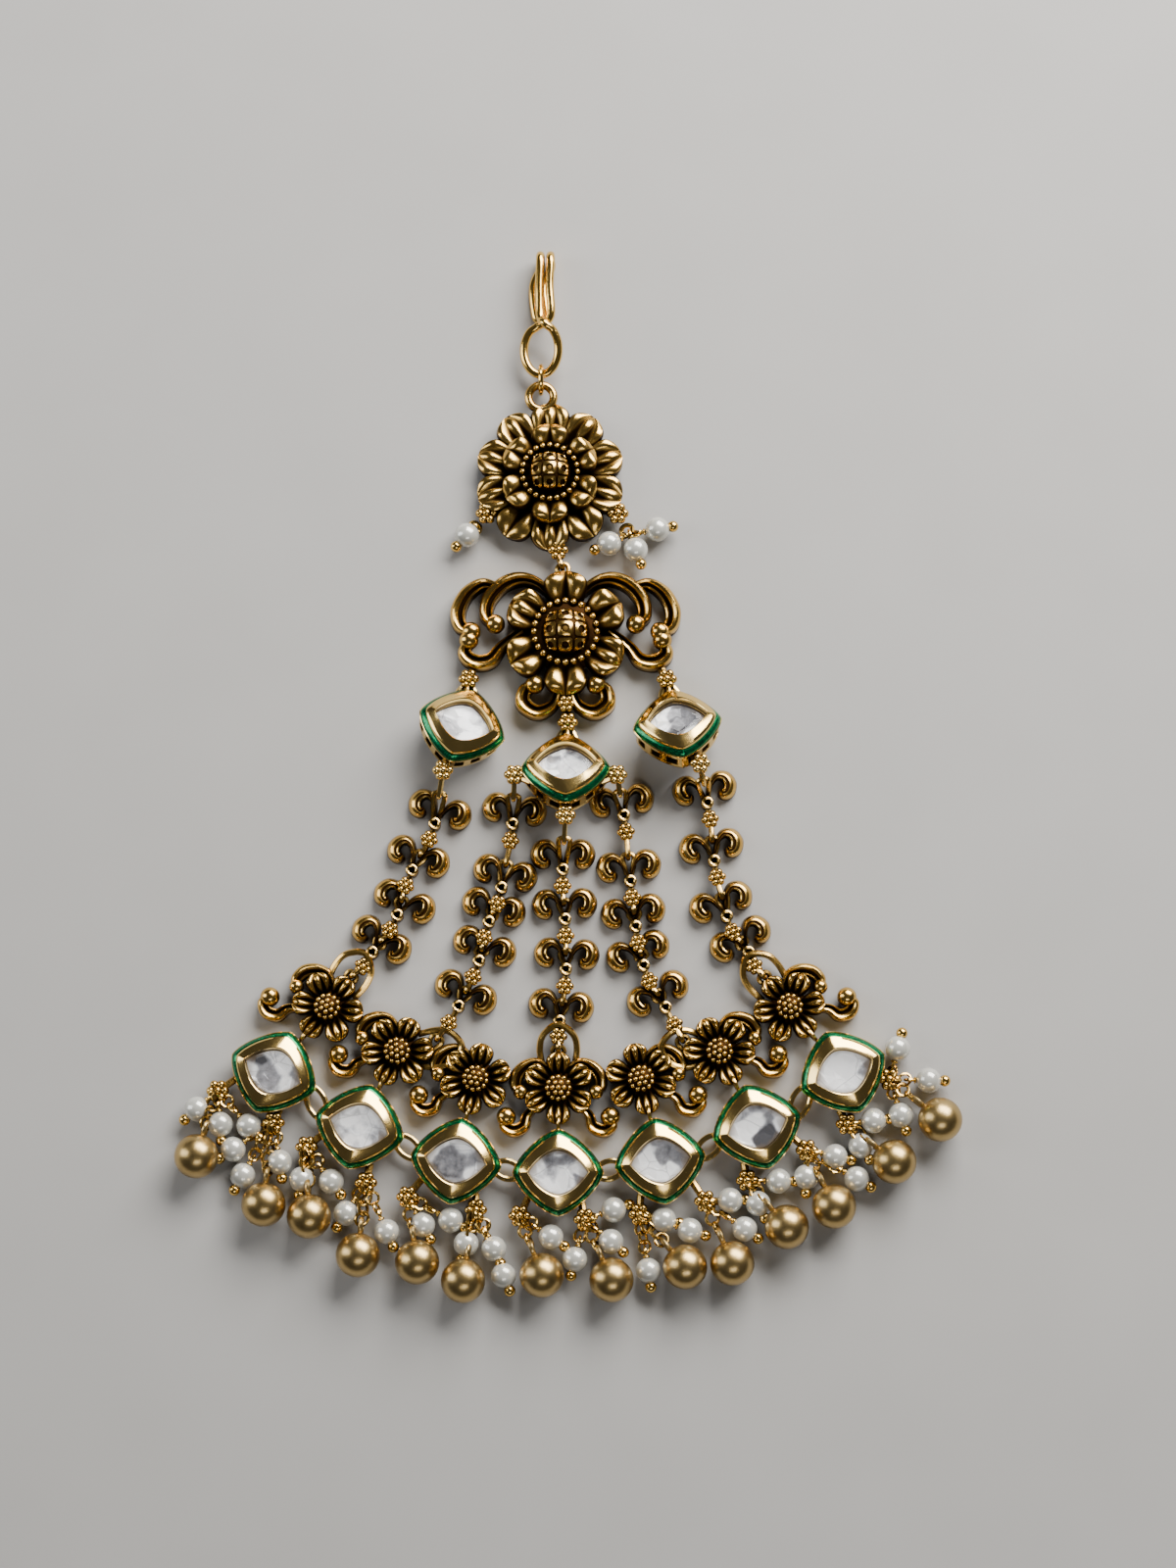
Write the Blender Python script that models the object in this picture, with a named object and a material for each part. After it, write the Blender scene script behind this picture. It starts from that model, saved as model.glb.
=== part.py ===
"""A passa, the fan-shaped ornament that is worn at the side of the head, as it lies on a table.

A wire hook carries a cast flower, the flower carries a scrolled plaque, and three set stones
hang from the plaque. Five chains of ram's-horn links fan out from them to a curved row of small
flowers, a curved row of seven set stones, and fourteen drops of balls and pearls.

All sizes are in metres. The sheet that it lies on is Z = 0, its front faces +Z, and the hook
points to +Y. The layout is drawn about the centre of the fan's arcs and moved to the middle of
the whole ornament at the end.
"""
from collections import defaultdict
from math import atan2, copysign, cos, pi, radians, sin, sqrt

import bmesh
import bpy
from mathutils import Matrix, Vector

MM = 0.001
CLEARANCE = 0.3 * MM            # between pieces that touch on the real ornament

# Wire, rings and small castings
HOOK_WIRE = 0.95 * MM
HOOK_RISE = 9.6 * MM            # from the hook's eye to the top of its bend
HOOK_GAP = 1.5 * MM             # open space inside the hook's bend
HOOK_TAIL = 7.2 * MM            # how far the hook's folded tip comes back down
HOOK_PAIR = 1.25 * MM           # between the centre lines of the doubled wire
EYE_WIDTH = 4.2 * MM
EYE_HEIGHT = 6.0 * MM
JUMP_WIRE = 0.5 * MM
BAIL_RADIUS = 1.52 * MM
BAIL_WIRE = 0.86 * MM
LOOP_RADIUS = 0.68 * MM
LOOP_WIRE = 0.4 * MM
BOW_FOOT = 0.45                 # how far a loop's feet spread, as a share of its radius
FLORET_RADIUS = 1.1 * MM
FLORET_HEIGHT = 1.3 * MM
EYE_OPENING = radians(24)       # left open at the top of the hook's eye

# Cast flowers
UPPER_RADIUS = 9.1 * MM
UPPER_TIER_RADIUS = 6.0 * MM
UPPER_RIM_HEIGHT = 2.3 * MM
UPPER_TIER_HEIGHT = 4.3 * MM
UPPER_DOME_RADIUS = 2.5 * MM
UPPER_DOME_HEIGHT = 6.4 * MM
PETAL_RISE = 0.5 * MM           # from the notches to the crown of a petal
PLAQUE_RADIUS = 7.5 * MM
PLAQUE_PETAL_HEIGHT = 3.0 * MM
PLAQUE_DOME_RADIUS = 2.8 * MM
PLAQUE_DOME_HEIGHT = 5.2 * MM
PLAQUE_HALF_SPAN = 13.2 * MM    # from the flower's centre to the outside of the outer scroll
SCROLL_WIDTH = 1.5 * MM
SCROLL_HEIGHT = 2.4 * MM
SCROLL_BALL = 1.0 * MM
MOTIF_RADIUS = 4.25 * MM
MOTIF_PETAL_HEIGHT = 2.3 * MM
MOTIF_DOME_RADIUS = 1.6 * MM
MOTIF_DOME_HEIGHT = 3.4 * MM
MOTIF_SCROLL_WIDTH = 1.1 * MM
MOTIF_SCROLL_HEIGHT = 1.9 * MM
MOTIF_BALL = 0.85 * MM

# Set stones
SETTING_LENGTH = 10.7 * MM
SETTING_WIDTH = 10.2 * MM
SETTING_WALL = 2.3 * MM         # height of the side wall below the flange
SETTING_BAND = 0.8 * MM         # height of the flange and the enamel band
BEZEL_HEIGHT = 1.1 * MM
FLANGE_STEP = 0.35 * MM         # how far the flange stands out from the wall
BAND_STEP = 0.55 * MM           # how far the enamel band runs in from the flange
BEZEL_LEAN = 0.25 * MM          # how far the bezel's top stands in from the band
BEZEL_SLOPE = 1.0 * MM          # how far the bezel runs in from its top to the stone
WELL_DEPTH = 1.5 * MM           # from the bezel's top to the seat of the stone
STONE_TABLE_INSET = 1.1 * MM
STONE_GIRDLE = 0.45 * MM
TABLE_DROP = 0.3 * MM           # from the bezel's top down to the stone's table
ROUNDNESS = 1.4                 # 1 would be a plain lozenge and 2 an oval

# The fan of seven motifs and seven stones
FAN_STEP = radians(12.9)
FAN_COUNT = 7
SETTING_SPACING = 1.35 * MM     # open space between neighbours in the row of stones
ROW_GAP = 0.55 * MM             # between a motif's petal and the setting below it
STONE_TURN = 0.6                # how far a stone turns with its place on the arc

# Chains
LINK_HALF_WIDTH = 3.4 * MM
LINK_RISE = 3.4 * MM            # from the link's foot to the crown of its horns
LINK_LEAF = 1.5 * MM
LINK_LEAF_HEIGHT = 1.9 * MM
FOOT_RADIUS = 0.75 * MM
LINK_FLORET_DROP = 2.0 * MM     # from the link's foot to its floret

# Drops
BALL_RADIUS = 2.6 * MM
PEARL_RADIUS = 1.5 * MM
PIN_WIRE = 0.4 * MM
DROP_LENGTH = 8.0 * MM

# Small joints
LOOP_PLAY = 0.2 * MM            # free play between two bows that hold each other
EYE_LEVEL = 2.0 * MM            # height of the bail and of the hook's eye above the sheet
BAIL_OFFSET = -1.1 * MM         # the bail stands to the left of the flower's centre
HOOK_LEAN = 0.5 * MM            # the shank stands to the right of the eye's centre
FLORET_BASE = 1.0 * MM          # height of a floret's underside
NECK_WIRE = 0.6 * MM            # the wire that carries a chain's florets
NECK_LEVEL = 1.1 * MM
STEM_WIRE = 1.0 * MM
DROP_EYE_TURN = radians(12)     # a drop's eye stands this far beside its floret

# Places that follow from the sizes
STONE_ROW = (SETTING_LENGTH + SETTING_SPACING) / FAN_STEP
MOTIF_ROW = STONE_ROW - SETTING_WIDTH / 2 - ROW_GAP - MOTIF_RADIUS
PLAQUE_OFFSET = 0.8 * MM        # the plaque's flower lies to the right of the arcs' centre
PLAQUE_LEVEL = 10.9 * MM        # and this far above it
PLAQUE_CENTRE = Vector((PLAQUE_OFFSET, PLAQUE_LEVEL))
TOP_LINK = 2.8 * MM             # between the plaque's top petal and the flower above
UPPER_OFFSET = -1.9 * MM        # the upper flower hangs to the left of the plaque
UPPER_FLORET_OFFSET = 1.0 * MM  # and its lowest floret to the right of its own centre
UPPER_CENTRE = PLAQUE_CENTRE + Vector((UPPER_OFFSET, PLAQUE_RADIUS + TOP_LINK + UPPER_RADIUS))

# The upper stones. Columns: name; the floret that carries it, as shares of the plaque's half
# span; how far the stone hangs beside its floret, as a share of its half length; then its spin,
# its tilt and the direction that its face leans to, in degrees; and where the floret's stem
# leaves the plaque, as shares of the half span.
UPPER_STONES = (
    ("left", -0.88, -0.42, -0.22, -18, 20, 55, (-0.82, -0.26)),
    ("right", 0.92, -0.42, 0.24, 8, 28, 95, (0.84, -0.24)),
    ("centre", 0.02, -0.82, -0.04, 0, 28, 90, (0.0, -0.50)),
)

# Where each chain starts and ends. Columns: name; the stone above; the direction of its floret
# on that stone in degrees; the motif below, from 0; the end floret's place beside and above that
# motif, as shares of the motif's radius; and the petal that holds it, in degrees from the top.
CHAIN_ENDS = (
    ("chain_a", "left", -95, 0, 0.06, 1.49, 4),
    ("chain_b", "centre", -168, 1, 0.94, 1.32, -60),
    ("chain_c", "centre", -90, 3, 0.0, 1.44, 0),
    ("chain_d", "centre", -12, 5, -0.80, 1.20, 60),
    ("chain_e", "right", -75, 6, -0.04, 1.50, 0),
)

# Chosen routes of the five chains: the floret on the stone above, each link's foot, and the
# floret at the fan. They are in the fan's frame and are carried to the pieces that hold them.
CHAIN_ROUTES = {
    "chain_a": ((-12.9, -6.4), (-14.4, -12.5), (-17.5, -18.1), (-19.6, -23.5), (-22.9, -27.9),
                (-24.1, -29.6)),
    "chain_b": ((-5.7, -7.1), (-5.9, -12.6), (-7.1, -20.1), (-8.5, -24.1), (-9.6, -28.7),
                (-11.9, -34.0), (-13.0, -36.0)),
    "chain_c": ((1.2, -10.6), (0.9, -16.9), (1.3, -23.2), (1.5, -29.5), (0.8, -36.0),
                (0.7, -37.9)),
    "chain_d": ((7.3, -6.8), (8.2, -11.4), (9.1, -19.4), (9.8, -24.9), (10.8, -29.6),
                (13.5, -34.6), (14.6, -36.7)),
    "chain_e": ((15.5, -4.9), (16.8, -9.3), (18.1, -16.7), (20.1, -23.7), (23.1, -28.1),
                (23.9, -29.8)),
}

# Drops, two to a stone from left to right. Columns: where the floret hangs beside and below its
# stone, as shares of the setting's half length and half width; the ball's direction in degrees
# from straight down and its distance as a share of the drop's length; then the same two columns
# for each pearl.
DROPS = (
    ((-0.71, -1.14), (33, 0.80), ((-8, 0.40), (78, 0.60), (50, 0.62))),
    ((0.69, -0.90), (30, 1.03), ((14, 0.83), (52, 0.64), (-12, 0.62))),
    ((-0.86, -0.94), (29, 0.91), ((14, 0.50), (62, 0.62))),
    ((0.66, -1.08), (21, 1.04), ((48, 0.78), (-18, 0.62))),
    ((-0.86, -1.04), (22, 0.96), ((52, 0.50), (72, 0.66))),
    ((0.66, -0.98), (3, 1.04), ((-4, 0.48), (36, 0.66), (36, 0.98))),
    ((-0.84, -0.98), (21, 0.92), ((56, 0.55),)),
    ((0.58, -1.06), (24, 0.96), ((-14, 0.60), (50, 0.50), (108, 0.45))),
    ((-0.70, -1.08), (31, 0.96), ((62, 0.40), (56, 0.62), (-4, 0.82))),
    ((0.77, -1.12), (11, 0.95), ((46, 0.66), (72, 0.44))),
    ((-0.70, -1.00), (14, 0.86), ((-16, 0.40), (68, 0.52))),
    ((0.77, -0.98), (1, 0.89), ((-38, 0.40), (34, 0.80), (56, 0.58))),
    ((-0.64, -0.98), (11, 0.82), ((-22, 0.40), (58, 0.40))),
    ((0.71, -0.80), (12, 0.94), ((135, 0.42), (-22, 0.55), (50, 0.58))),
)

# The bunches of pearls on the upper flower: where each pearl lies from its floret, as shares of
# the drop's length.
SIDE_PEARLS = (
    ("pearls_left", ((-0.30, -0.33),)),
    ("pearls_right", ((0.60, -0.24), (-0.14, -0.44), (0.26, -0.55))),
)

# Curves of the scrolls as shares of their piece's half span: centre-line points from the flower
# out to the ball, chosen by eye.
PLAQUE_SCROLLS = (
    ((-0.12, 0.36), (-0.26, 0.48), (-0.42, 0.52), (-0.58, 0.46), (-0.70, 0.32), (-0.72, 0.17),
     (-0.64, 0.09)),
    ((-0.62, 0.44), (-0.76, 0.47), (-0.90, 0.38), (-0.98, 0.22), (-0.96, 0.08), (-0.86, 0.02)),
    ((-0.40, 0.03), (-0.58, -0.12), (-0.68, -0.24), (-0.82, -0.26), (-0.92, -0.18),
     (-0.88, -0.06)),
    ((-0.06, -0.52), (-0.12, -0.66), (-0.26, -0.72), (-0.38, -0.64), (-0.37, -0.52),
     (-0.28, -0.47)),
)
MOTIF_SCROLLS = (
    ((0.28, 0.58), (0.62, 0.72), (0.92, 0.62), (1.14, 0.38), (1.18, 0.08), (1.04, -0.10)),
    ((0.62, -0.50), (0.86, -0.74), (0.96, -1.04), (1.24, -1.16), (1.48, -1.02), (1.44, -0.78)),
)
LINK_HORN = ((0.24, 0.56), (0.56, 1.0), (0.92, 0.80), (0.88, 0.42), (0.66, 0.36))
LEAF_SHARES = (0.6, 0.9, 1.0, 1.0, 0.8)     # a leaf's thickness from its tip to its foot

# Facets: sides round a bead, a wire, a setting and a stone, and steps round a wire's turns
BEAD_SIDES = 10
WIRE_SIDES = 5
THIN_SIDES = 4
OUTLINE_SIDES = 16
STONE_SIDES = 12
EYE_STEPS = 12
BEND_STEPS = 4
SETTLE_STEPS = 60               # rounds of pushing loose beads apart
SHARP_EDGE = radians(38)
WELD = 0.0002 * MM              # corners closer than this become one
Z_UP = Vector((0, 0, 1))


def remove_everything():
    """Start from an empty scene."""
    for thing in list(bpy.data.objects):
        bpy.data.objects.remove(thing, do_unlink=True)


def material(name, colour, metallic, roughness, transmission=0.0):
    """A Principled finish for one kind of piece."""
    made = bpy.data.materials.new(name)
    made.use_nodes = True
    shader = made.node_tree.nodes["Principled BSDF"]
    shader.inputs["Base Color"].default_value = (*colour, 1.0)
    shader.inputs["Metallic"].default_value = metallic
    shader.inputs["Roughness"].default_value = roughness
    shader.inputs["Transmission Weight"].default_value = transmission
    return made


def loft(sections, closed=False):
    """Skin equal rings of points, with a flat cap at each end unless the rings meet."""
    count = len(sections[0])
    corners = [point for section in sections for point in section]
    faces = []
    last = len(sections) if closed else len(sections) - 1
    for row in range(last):
        low = row * count
        high = ((row + 1) % len(sections)) * count
        for column in range(count):
            after = (column + 1) % count
            faces.append((low + column, low + after, high + after, high + column))
    if not closed:
        faces.append(tuple(reversed(range(count))))
        faces.append(tuple(range(low + count, low + 2 * count)))
    return corners, faces


def wire(points, widths, heights=None, sides=WIRE_SIDES, closed=False, up=Z_UP):
    """Sweep an oval section along points. Its height starts close to the up direction."""
    heights = heights or widths
    count = len(points)
    courses = []
    for index in range(count):
        before = points[index - 1] if closed or index > 0 else points[index]
        after = points[(index + 1) % count] if closed or index < count - 1 else points[index]
        courses.append((after - before).normalized())
    talls = [(up - courses[0] * up.dot(courses[0])).normalized()]
    for before, after in zip(courses, courses[1:] + courses[:1]):
        talls.append(before.rotation_difference(after) @ talls[-1])
    slip = 0.0
    if closed:
        across = courses[0].cross(talls[0])
        slip = atan2(talls[-1].dot(across), talls[-1].dot(talls[0]))
    sections = []
    for index, point in enumerate(points):
        back = Matrix.Rotation(-slip * index / count, 3, courses[index])
        tall = back @ talls[index]
        across = courses[index].cross(tall)
        section = []
        for side in range(sides):
            turn = 2 * pi * (side + 0.5) / sides
            section.append(point + across * (cos(turn) * widths[index] / 2)
                           + tall * (sin(turn) * heights[index] / 2))
        sections.append(section)
    return loft(sections, closed)


def ring(centre, axis, radius, thickness, sides=OUTLINE_SIDES):
    """A closed wire ring round an axis."""
    first = axis.orthogonal().normalized()
    second = axis.cross(first)
    points = []
    for step in range(sides):
        turn = 2 * pi * step / sides
        points.append(centre + (first * cos(turn) + second * sin(turn)) * radius)
    return wire(points, [thickness] * sides, closed=True, up=axis)


def bow(root, centre, axis, toward, radius, thickness):
    """A loop of wire that leaves a piece at its root and runs round a centre."""
    side = axis.cross(toward) * radius
    foot = side * BOW_FOOT
    points = [root + foot, centre + side, centre + toward * radius, centre - side, root - foot]
    return wire(points, [thickness] * len(points), up=axis)


def bead(centre, radius, sides=BEAD_SIDES, bands=4):
    """A round bead with flattened poles."""
    sections = []
    for band in range(bands):
        lift = pi * ((band + 0.5) / bands - 0.5)
        sections.append([centre + Vector((cos(lift) * cos(2 * pi * side / sides),
                                          cos(lift) * sin(2 * pi * side / sides),
                                          sin(lift))) * radius
                         for side in range(sides)])
    return loft(sections)


def petal_wave(turn, petals, sharpness=0.6):
    """1 at the middle of each petal and 0 between two; the first petal points to +Y."""
    return abs(cos(petals * (turn - pi / 2) / 2)) ** sharpness


def flower(centre, petals, steps, profile, turn=0.0, base=0.0):
    """A round casting with petals. Each profile row: radius, height, notch depth, petal rise."""
    sections = []
    count = petals * steps
    for radius, height, notch, rise in profile:
        section = []
        for step in range(count):
            angle = 2 * pi * step / count + pi / 2
            wave = petal_wave(angle, petals)
            reach = radius * (1 - notch * (1 - wave))
            section.append(Vector((centre.x + reach * cos(angle + turn),
                                   centre.y + reach * sin(angle + turn),
                                   base + height + rise * wave)))
        sections.append(section)
    return loft(sections)


def floret(centre, base, turn=0.0):
    """Six granules round one, as a low lobed button."""
    profile = ((FLORET_RADIUS, 0.0, 0.22, 0.0), (0.8 * FLORET_RADIUS, FLORET_HEIGHT, 0.22, 0.0))
    return flower(centre, 6, 2, profile, turn, base)


def lozenge_point(half_length, half_width, turn, height=0.0):
    """A point of a rounded lozenge outline, in the direction of a turn."""
    c, s = cos(turn), sin(turn)
    reach = (abs(c) ** ROUNDNESS + abs(s) ** ROUNDNESS) ** (-1 / ROUNDNESS)
    return Vector((half_length * reach * c, half_width * reach * s, height))


def lozenge(half_length, half_width, height, sides=OUTLINE_SIDES):
    """A rounded lozenge outline at one height."""
    return [lozenge_point(half_length, half_width, 2 * pi * step / sides, height)
            for step in range(sides)]


def lozenge_stack(rows, sides=OUTLINE_SIDES):
    """Skin lozenges that are inset from the setting's outline by each row's first value."""
    return loft([lozenge(SETTING_LENGTH / 2 - inset, SETTING_WIDTH / 2 - inset, height, sides)
                 for inset, height in rows])


def placed(bit, matrix):
    """Move one closed bit."""
    corners, faces = bit
    return [matrix @ corner for corner in corners], faces


def mesh_from(bits, name):
    """One mesh that holds some closed bits side by side."""
    mesh = bpy.data.meshes.new(name)
    corners = []
    faces = []
    for bit_corners, bit_faces in bits:
        start = len(corners)
        corners.extend(bit_corners)
        faces.extend([tuple(start + index for index in face) for face in bit_faces])
    mesh.from_pydata([tuple(corner) for corner in corners], [], faces)
    work = bmesh.new()
    work.from_mesh(mesh)
    bmesh.ops.recalc_face_normals(work, faces=work.faces)
    work.to_mesh(mesh)
    work.free()
    return mesh


def solid(name, bits, finish, parent):
    """Fuse closed bits that cross each other into one body and name it."""
    base = bpy.data.objects.new(name, mesh_from(bits[:1], name))
    bpy.context.collection.objects.link(base)
    if len(bits) > 1:
        rest = bpy.data.objects.new(name + "_rest", mesh_from(bits[1:], name + "_rest"))
        bpy.context.collection.objects.link(rest)
        union = base.modifiers.new("fuse", 'BOOLEAN')
        union.operation = 'UNION'
        union.solver = 'EXACT'
        union.use_self = True
        union.object = rest
        bpy.context.view_layer.update()
        seen = base.evaluated_get(bpy.context.evaluated_depsgraph_get())
        fused = bpy.data.meshes.new_from_object(seen)
        base.modifiers.clear()
        base.data = fused
        bpy.data.objects.remove(rest, do_unlink=True)
    base.data.name = name
    work = bmesh.new()
    work.from_mesh(base.data)
    bmesh.ops.remove_doubles(work, verts=work.verts, dist=WELD)
    bmesh.ops.dissolve_degenerate(work, edges=work.edges, dist=WELD)
    bmesh.ops.triangulate(work, faces=work.faces)
    work.to_mesh(base.data)
    work.free()
    base.data.materials.clear()
    base.data.materials.append(finish)
    base.data.shade_smooth()
    base.data.set_sharp_from_angle(angle=SHARP_EDGE)
    base.parent = parent
    return base


def lift(place, height=0.0):
    """A point of the layout at a height above the sheet."""
    return Vector((place.x, place.y, height))


def turned(vector, angle):
    """A direction in the sheet's plane, turned anticlockwise."""
    return Vector((vector.x * cos(angle) - vector.y * sin(angle),
                   vector.x * sin(angle) + vector.y * cos(angle)))


def fan_point(index, radius):
    """A place on one of the fan's arcs and the angle of its spoke."""
    angle = (index - (FAN_COUNT - 1) / 2) * FAN_STEP
    return Vector((sin(angle), -cos(angle))) * radius, angle


def carried(route, start, end):
    """Turn and stretch a chosen route so that its ends meet the pieces that hold it."""
    marks = [complex(x, y) for x, y in route]
    first = complex(start.x, start.y)
    factor = (complex(end.x, end.y) - first) / (marks[-1] - marks[0])
    found = [first + (mark - marks[0]) * factor for mark in marks]
    return [Vector((mark.real, mark.imag)) for mark in found]


def hang(carrier, carrier_root, hung, hung_root):
    """Join two pieces by an upright bow on the first that holds a flat bow on the second."""
    course = (hung_root - carrier_root).normalized()
    across = course.cross(Z_UP).normalized()
    middle = (carrier_root + hung_root) / 2
    overlap = course * (LOOP_WIRE + LOOP_PLAY) / 2
    carrier.append(bow(carrier_root, middle + overlap - course * LOOP_RADIUS, across, course,
                       LOOP_RADIUS, LOOP_WIRE))
    hung.append(bow(hung_root, middle - overlap + course * LOOP_RADIUS, across.cross(course), -course,
                    LOOP_RADIUS, LOOP_WIRE))


def reach_for(bits, root, wall):
    """A bow from a piece's root that ends one clearance short of a neighbour's wall."""
    course = wall - root
    course.z = 0
    free = course.length - LOOP_WIRE - CLEARANCE - LOOP_WIRE / 2
    course.normalize()
    bits.append(bow(root, root + course * (free - LOOP_RADIUS), Z_UP, course, LOOP_RADIUS, LOOP_WIRE))


def scroll(points, centre, span, width, height, ball, mirror, turn=0.0, sides=WIRE_SIDES):
    """A cast C scroll whose inner end swells to a ball, drawn from shares of its half span."""
    places = [lift(centre + turned(Vector((x * mirror, y)) * span, turn), height / 2)
              for x, y in points]
    last = len(places) - 1
    widths = [width * (0.8 + 0.4 * sin(pi * step / last)) for step in range(last - 1)]
    widths += [2 * ball, 1.5 * ball]
    heights = [height] * (last - 1) + [height, 0.8 * height]
    return wire(places, widths, heights, sides)


def build_hook(finish, root, eye_foot):
    """One wire: an eye, a doubled shank over the bend, and a folded tip behind."""
    bend = (HOOK_GAP + HOOK_WIRE) / 2
    back = HOOK_WIRE / 2
    front = back + 2 * bend
    centre = eye_foot + Vector((0, EYE_HEIGHT / 2))
    crossing = (HOOK_WIRE + CLEARANCE) / 2
    eye = []
    for step in range(EYE_STEPS):
        share = step / (EYE_STEPS - 1)
        turn = (pi + EYE_OPENING) / 2 + (2 * pi - EYE_OPENING) * share
        rise = front - crossing + 2 * crossing * share
        sag = (front - EYE_LEVEL) * sin(pi * share)
        eye.append(Vector((centre.x + cos(turn) * EYE_WIDTH / 2,
                           centre.y + sin(turn) * EYE_HEIGHT / 2, rise - sag)))
    top = centre.y + EYE_HEIGHT / 2 + HOOK_RISE - HOOK_WIRE / 2
    base = centre.y + EYE_HEIGHT / 2 + HOOK_WIRE

    def shank(side):
        x = centre.x + HOOK_LEAN + side * HOOK_PAIR / 2
        run = [Vector((x, base, front))]
        for step in range(BEND_STEPS + 1):
            turn = pi * step / BEND_STEPS
            run.append(Vector((x, top - bend + bend * sin(turn), back + bend + bend * cos(turn))))
        run.append(Vector((x, top - HOOK_TAIL, back)))
        return run

    fold = Vector((centre.x + HOOK_LEAN, top - HOOK_TAIL - HOOK_PAIR / 2, back))
    path = eye + shank(-1) + [fold] + list(reversed(shank(1)))
    return solid("hook", [wire(path, [HOOK_WIRE] * len(path), closed=True)], finish, root)


def build_upper_flower(link_place):
    """Two tiers of petals, a dome, the bail above and three florets at the lower edge."""
    centre = UPPER_CENTRE
    lower = ((0.9 * UPPER_RADIUS, 0.0, 0.15, 0.0), (UPPER_RADIUS, 0.6 * UPPER_RIM_HEIGHT, 0.2, 0.0),
             (0.86 * UPPER_RADIUS, UPPER_RIM_HEIGHT, 0.2, PETAL_RISE),
             (0.5 * UPPER_RADIUS, 0.8 * UPPER_RIM_HEIGHT, 0.0, 0.0))
    upper = ((0.6 * UPPER_TIER_RADIUS, 0.6 * UPPER_RIM_HEIGHT, 0.0, 0.0),
             (UPPER_TIER_RADIUS, 0.8 * UPPER_TIER_HEIGHT, 0.26, 0.0),
             (0.8 * UPPER_TIER_RADIUS, UPPER_TIER_HEIGHT, 0.24, PETAL_RISE),
             (1.3 * UPPER_DOME_RADIUS, 0.9 * UPPER_TIER_HEIGHT, 0.0, 0.0),
             (0.5 * UPPER_DOME_RADIUS, UPPER_DOME_HEIGHT, 0.0, 0.0))
    bits = [flower(centre, 10, 4, lower), flower(centre, 6, 4, upper)]
    bits.append(ring(lift(bail_centre(), EYE_LEVEL), Z_UP, BAIL_RADIUS, BAIL_WIRE, BEAD_SIDES))
    bits.append(floret(link_place, FLORET_BASE))
    for place in side_florets():
        bits.append(floret(place, FLORET_BASE))
    return bits


def bail_centre():
    """The bail stands over the top petal, a little to the left."""
    return UPPER_CENTRE + Vector((BAIL_OFFSET, UPPER_RADIUS + 0.5 * BAIL_RADIUS))


def side_florets():
    """The florets at the flower's lower left and lower right."""
    return [UPPER_CENTRE + Vector((side * reach, -0.5 * UPPER_RADIUS))
            for side, reach in ((-1, 0.84 * UPPER_RADIUS), (1, 0.90 * UPPER_RADIUS))]


def build_plaque():
    """A petalled flower with four scrolls on each side."""
    profile = ((0.96 * PLAQUE_RADIUS, 0.0, 0.3, 0.0),
               (PLAQUE_RADIUS, 0.5 * PLAQUE_PETAL_HEIGHT, 0.32, 0.0),
               (0.8 * PLAQUE_RADIUS, PLAQUE_PETAL_HEIGHT, 0.26, PETAL_RISE),
               (1.3 * PLAQUE_DOME_RADIUS, 0.85 * PLAQUE_PETAL_HEIGHT, 0.0, 0.0),
               (0.5 * PLAQUE_DOME_RADIUS, PLAQUE_DOME_HEIGHT, 0.0, 0.0))
    bits = [flower(PLAQUE_CENTRE, 6, 5, profile)]
    for mirror in (1, -1):
        for points in PLAQUE_SCROLLS:
            bits.append(scroll(points, PLAQUE_CENTRE, PLAQUE_HALF_SPAN, SCROLL_WIDTH, SCROLL_HEIGHT,
                               SCROLL_BALL, mirror))
    return bits


def setting_rows():
    """Inset and height of each edge of a setting, from its back to the floor of its well."""
    band_top = SETTING_WALL + SETTING_BAND
    top = band_top + BEZEL_HEIGHT
    window = BAND_STEP + BEZEL_LEAN + BEZEL_SLOPE
    return ((FLANGE_STEP, 0.0), (FLANGE_STEP, SETTING_WALL), (0.0, SETTING_WALL + 0.3 * SETTING_BAND),
            (BAND_STEP, band_top), (BAND_STEP + BEZEL_LEAN, top), (window, top - WELL_DEPTH))


def stone_rows():
    """The stone's back, girdle and table, one clearance inside the well."""
    inset, floor = setting_rows()[-1]
    top = SETTING_WALL + SETTING_BAND + BEZEL_HEIGHT
    side = inset + CLEARANCE
    back = floor + CLEARANCE
    return ((side, back), (side, back + STONE_GIRDLE), (side + STONE_TABLE_INSET, top - TABLE_DROP))


def setting_turn(spin, tilt=0.0, lean=0.0):
    """Spin a setting, then tip its face toward a direction of the sheet."""
    axis = Vector((-sin(lean), cos(lean), 0))
    return Matrix.Rotation(tilt, 4, axis) @ Matrix.Rotation(spin, 4, 'Z')


def setting_reach(turn, course):
    """How far a turned setting reaches from its own origin along a direction."""
    return max((turn @ corner).dot(course) for inset, height in setting_rows()
               for corner in lozenge(SETTING_LENGTH / 2 - inset, SETTING_WIDTH / 2 - inset, height))


def rested(place, turn):
    """Lay a turned setting on the sheet, over a place of the layout."""
    return Matrix.Translation(lift(place, setting_reach(turn, -Z_UP))) @ turn


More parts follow.
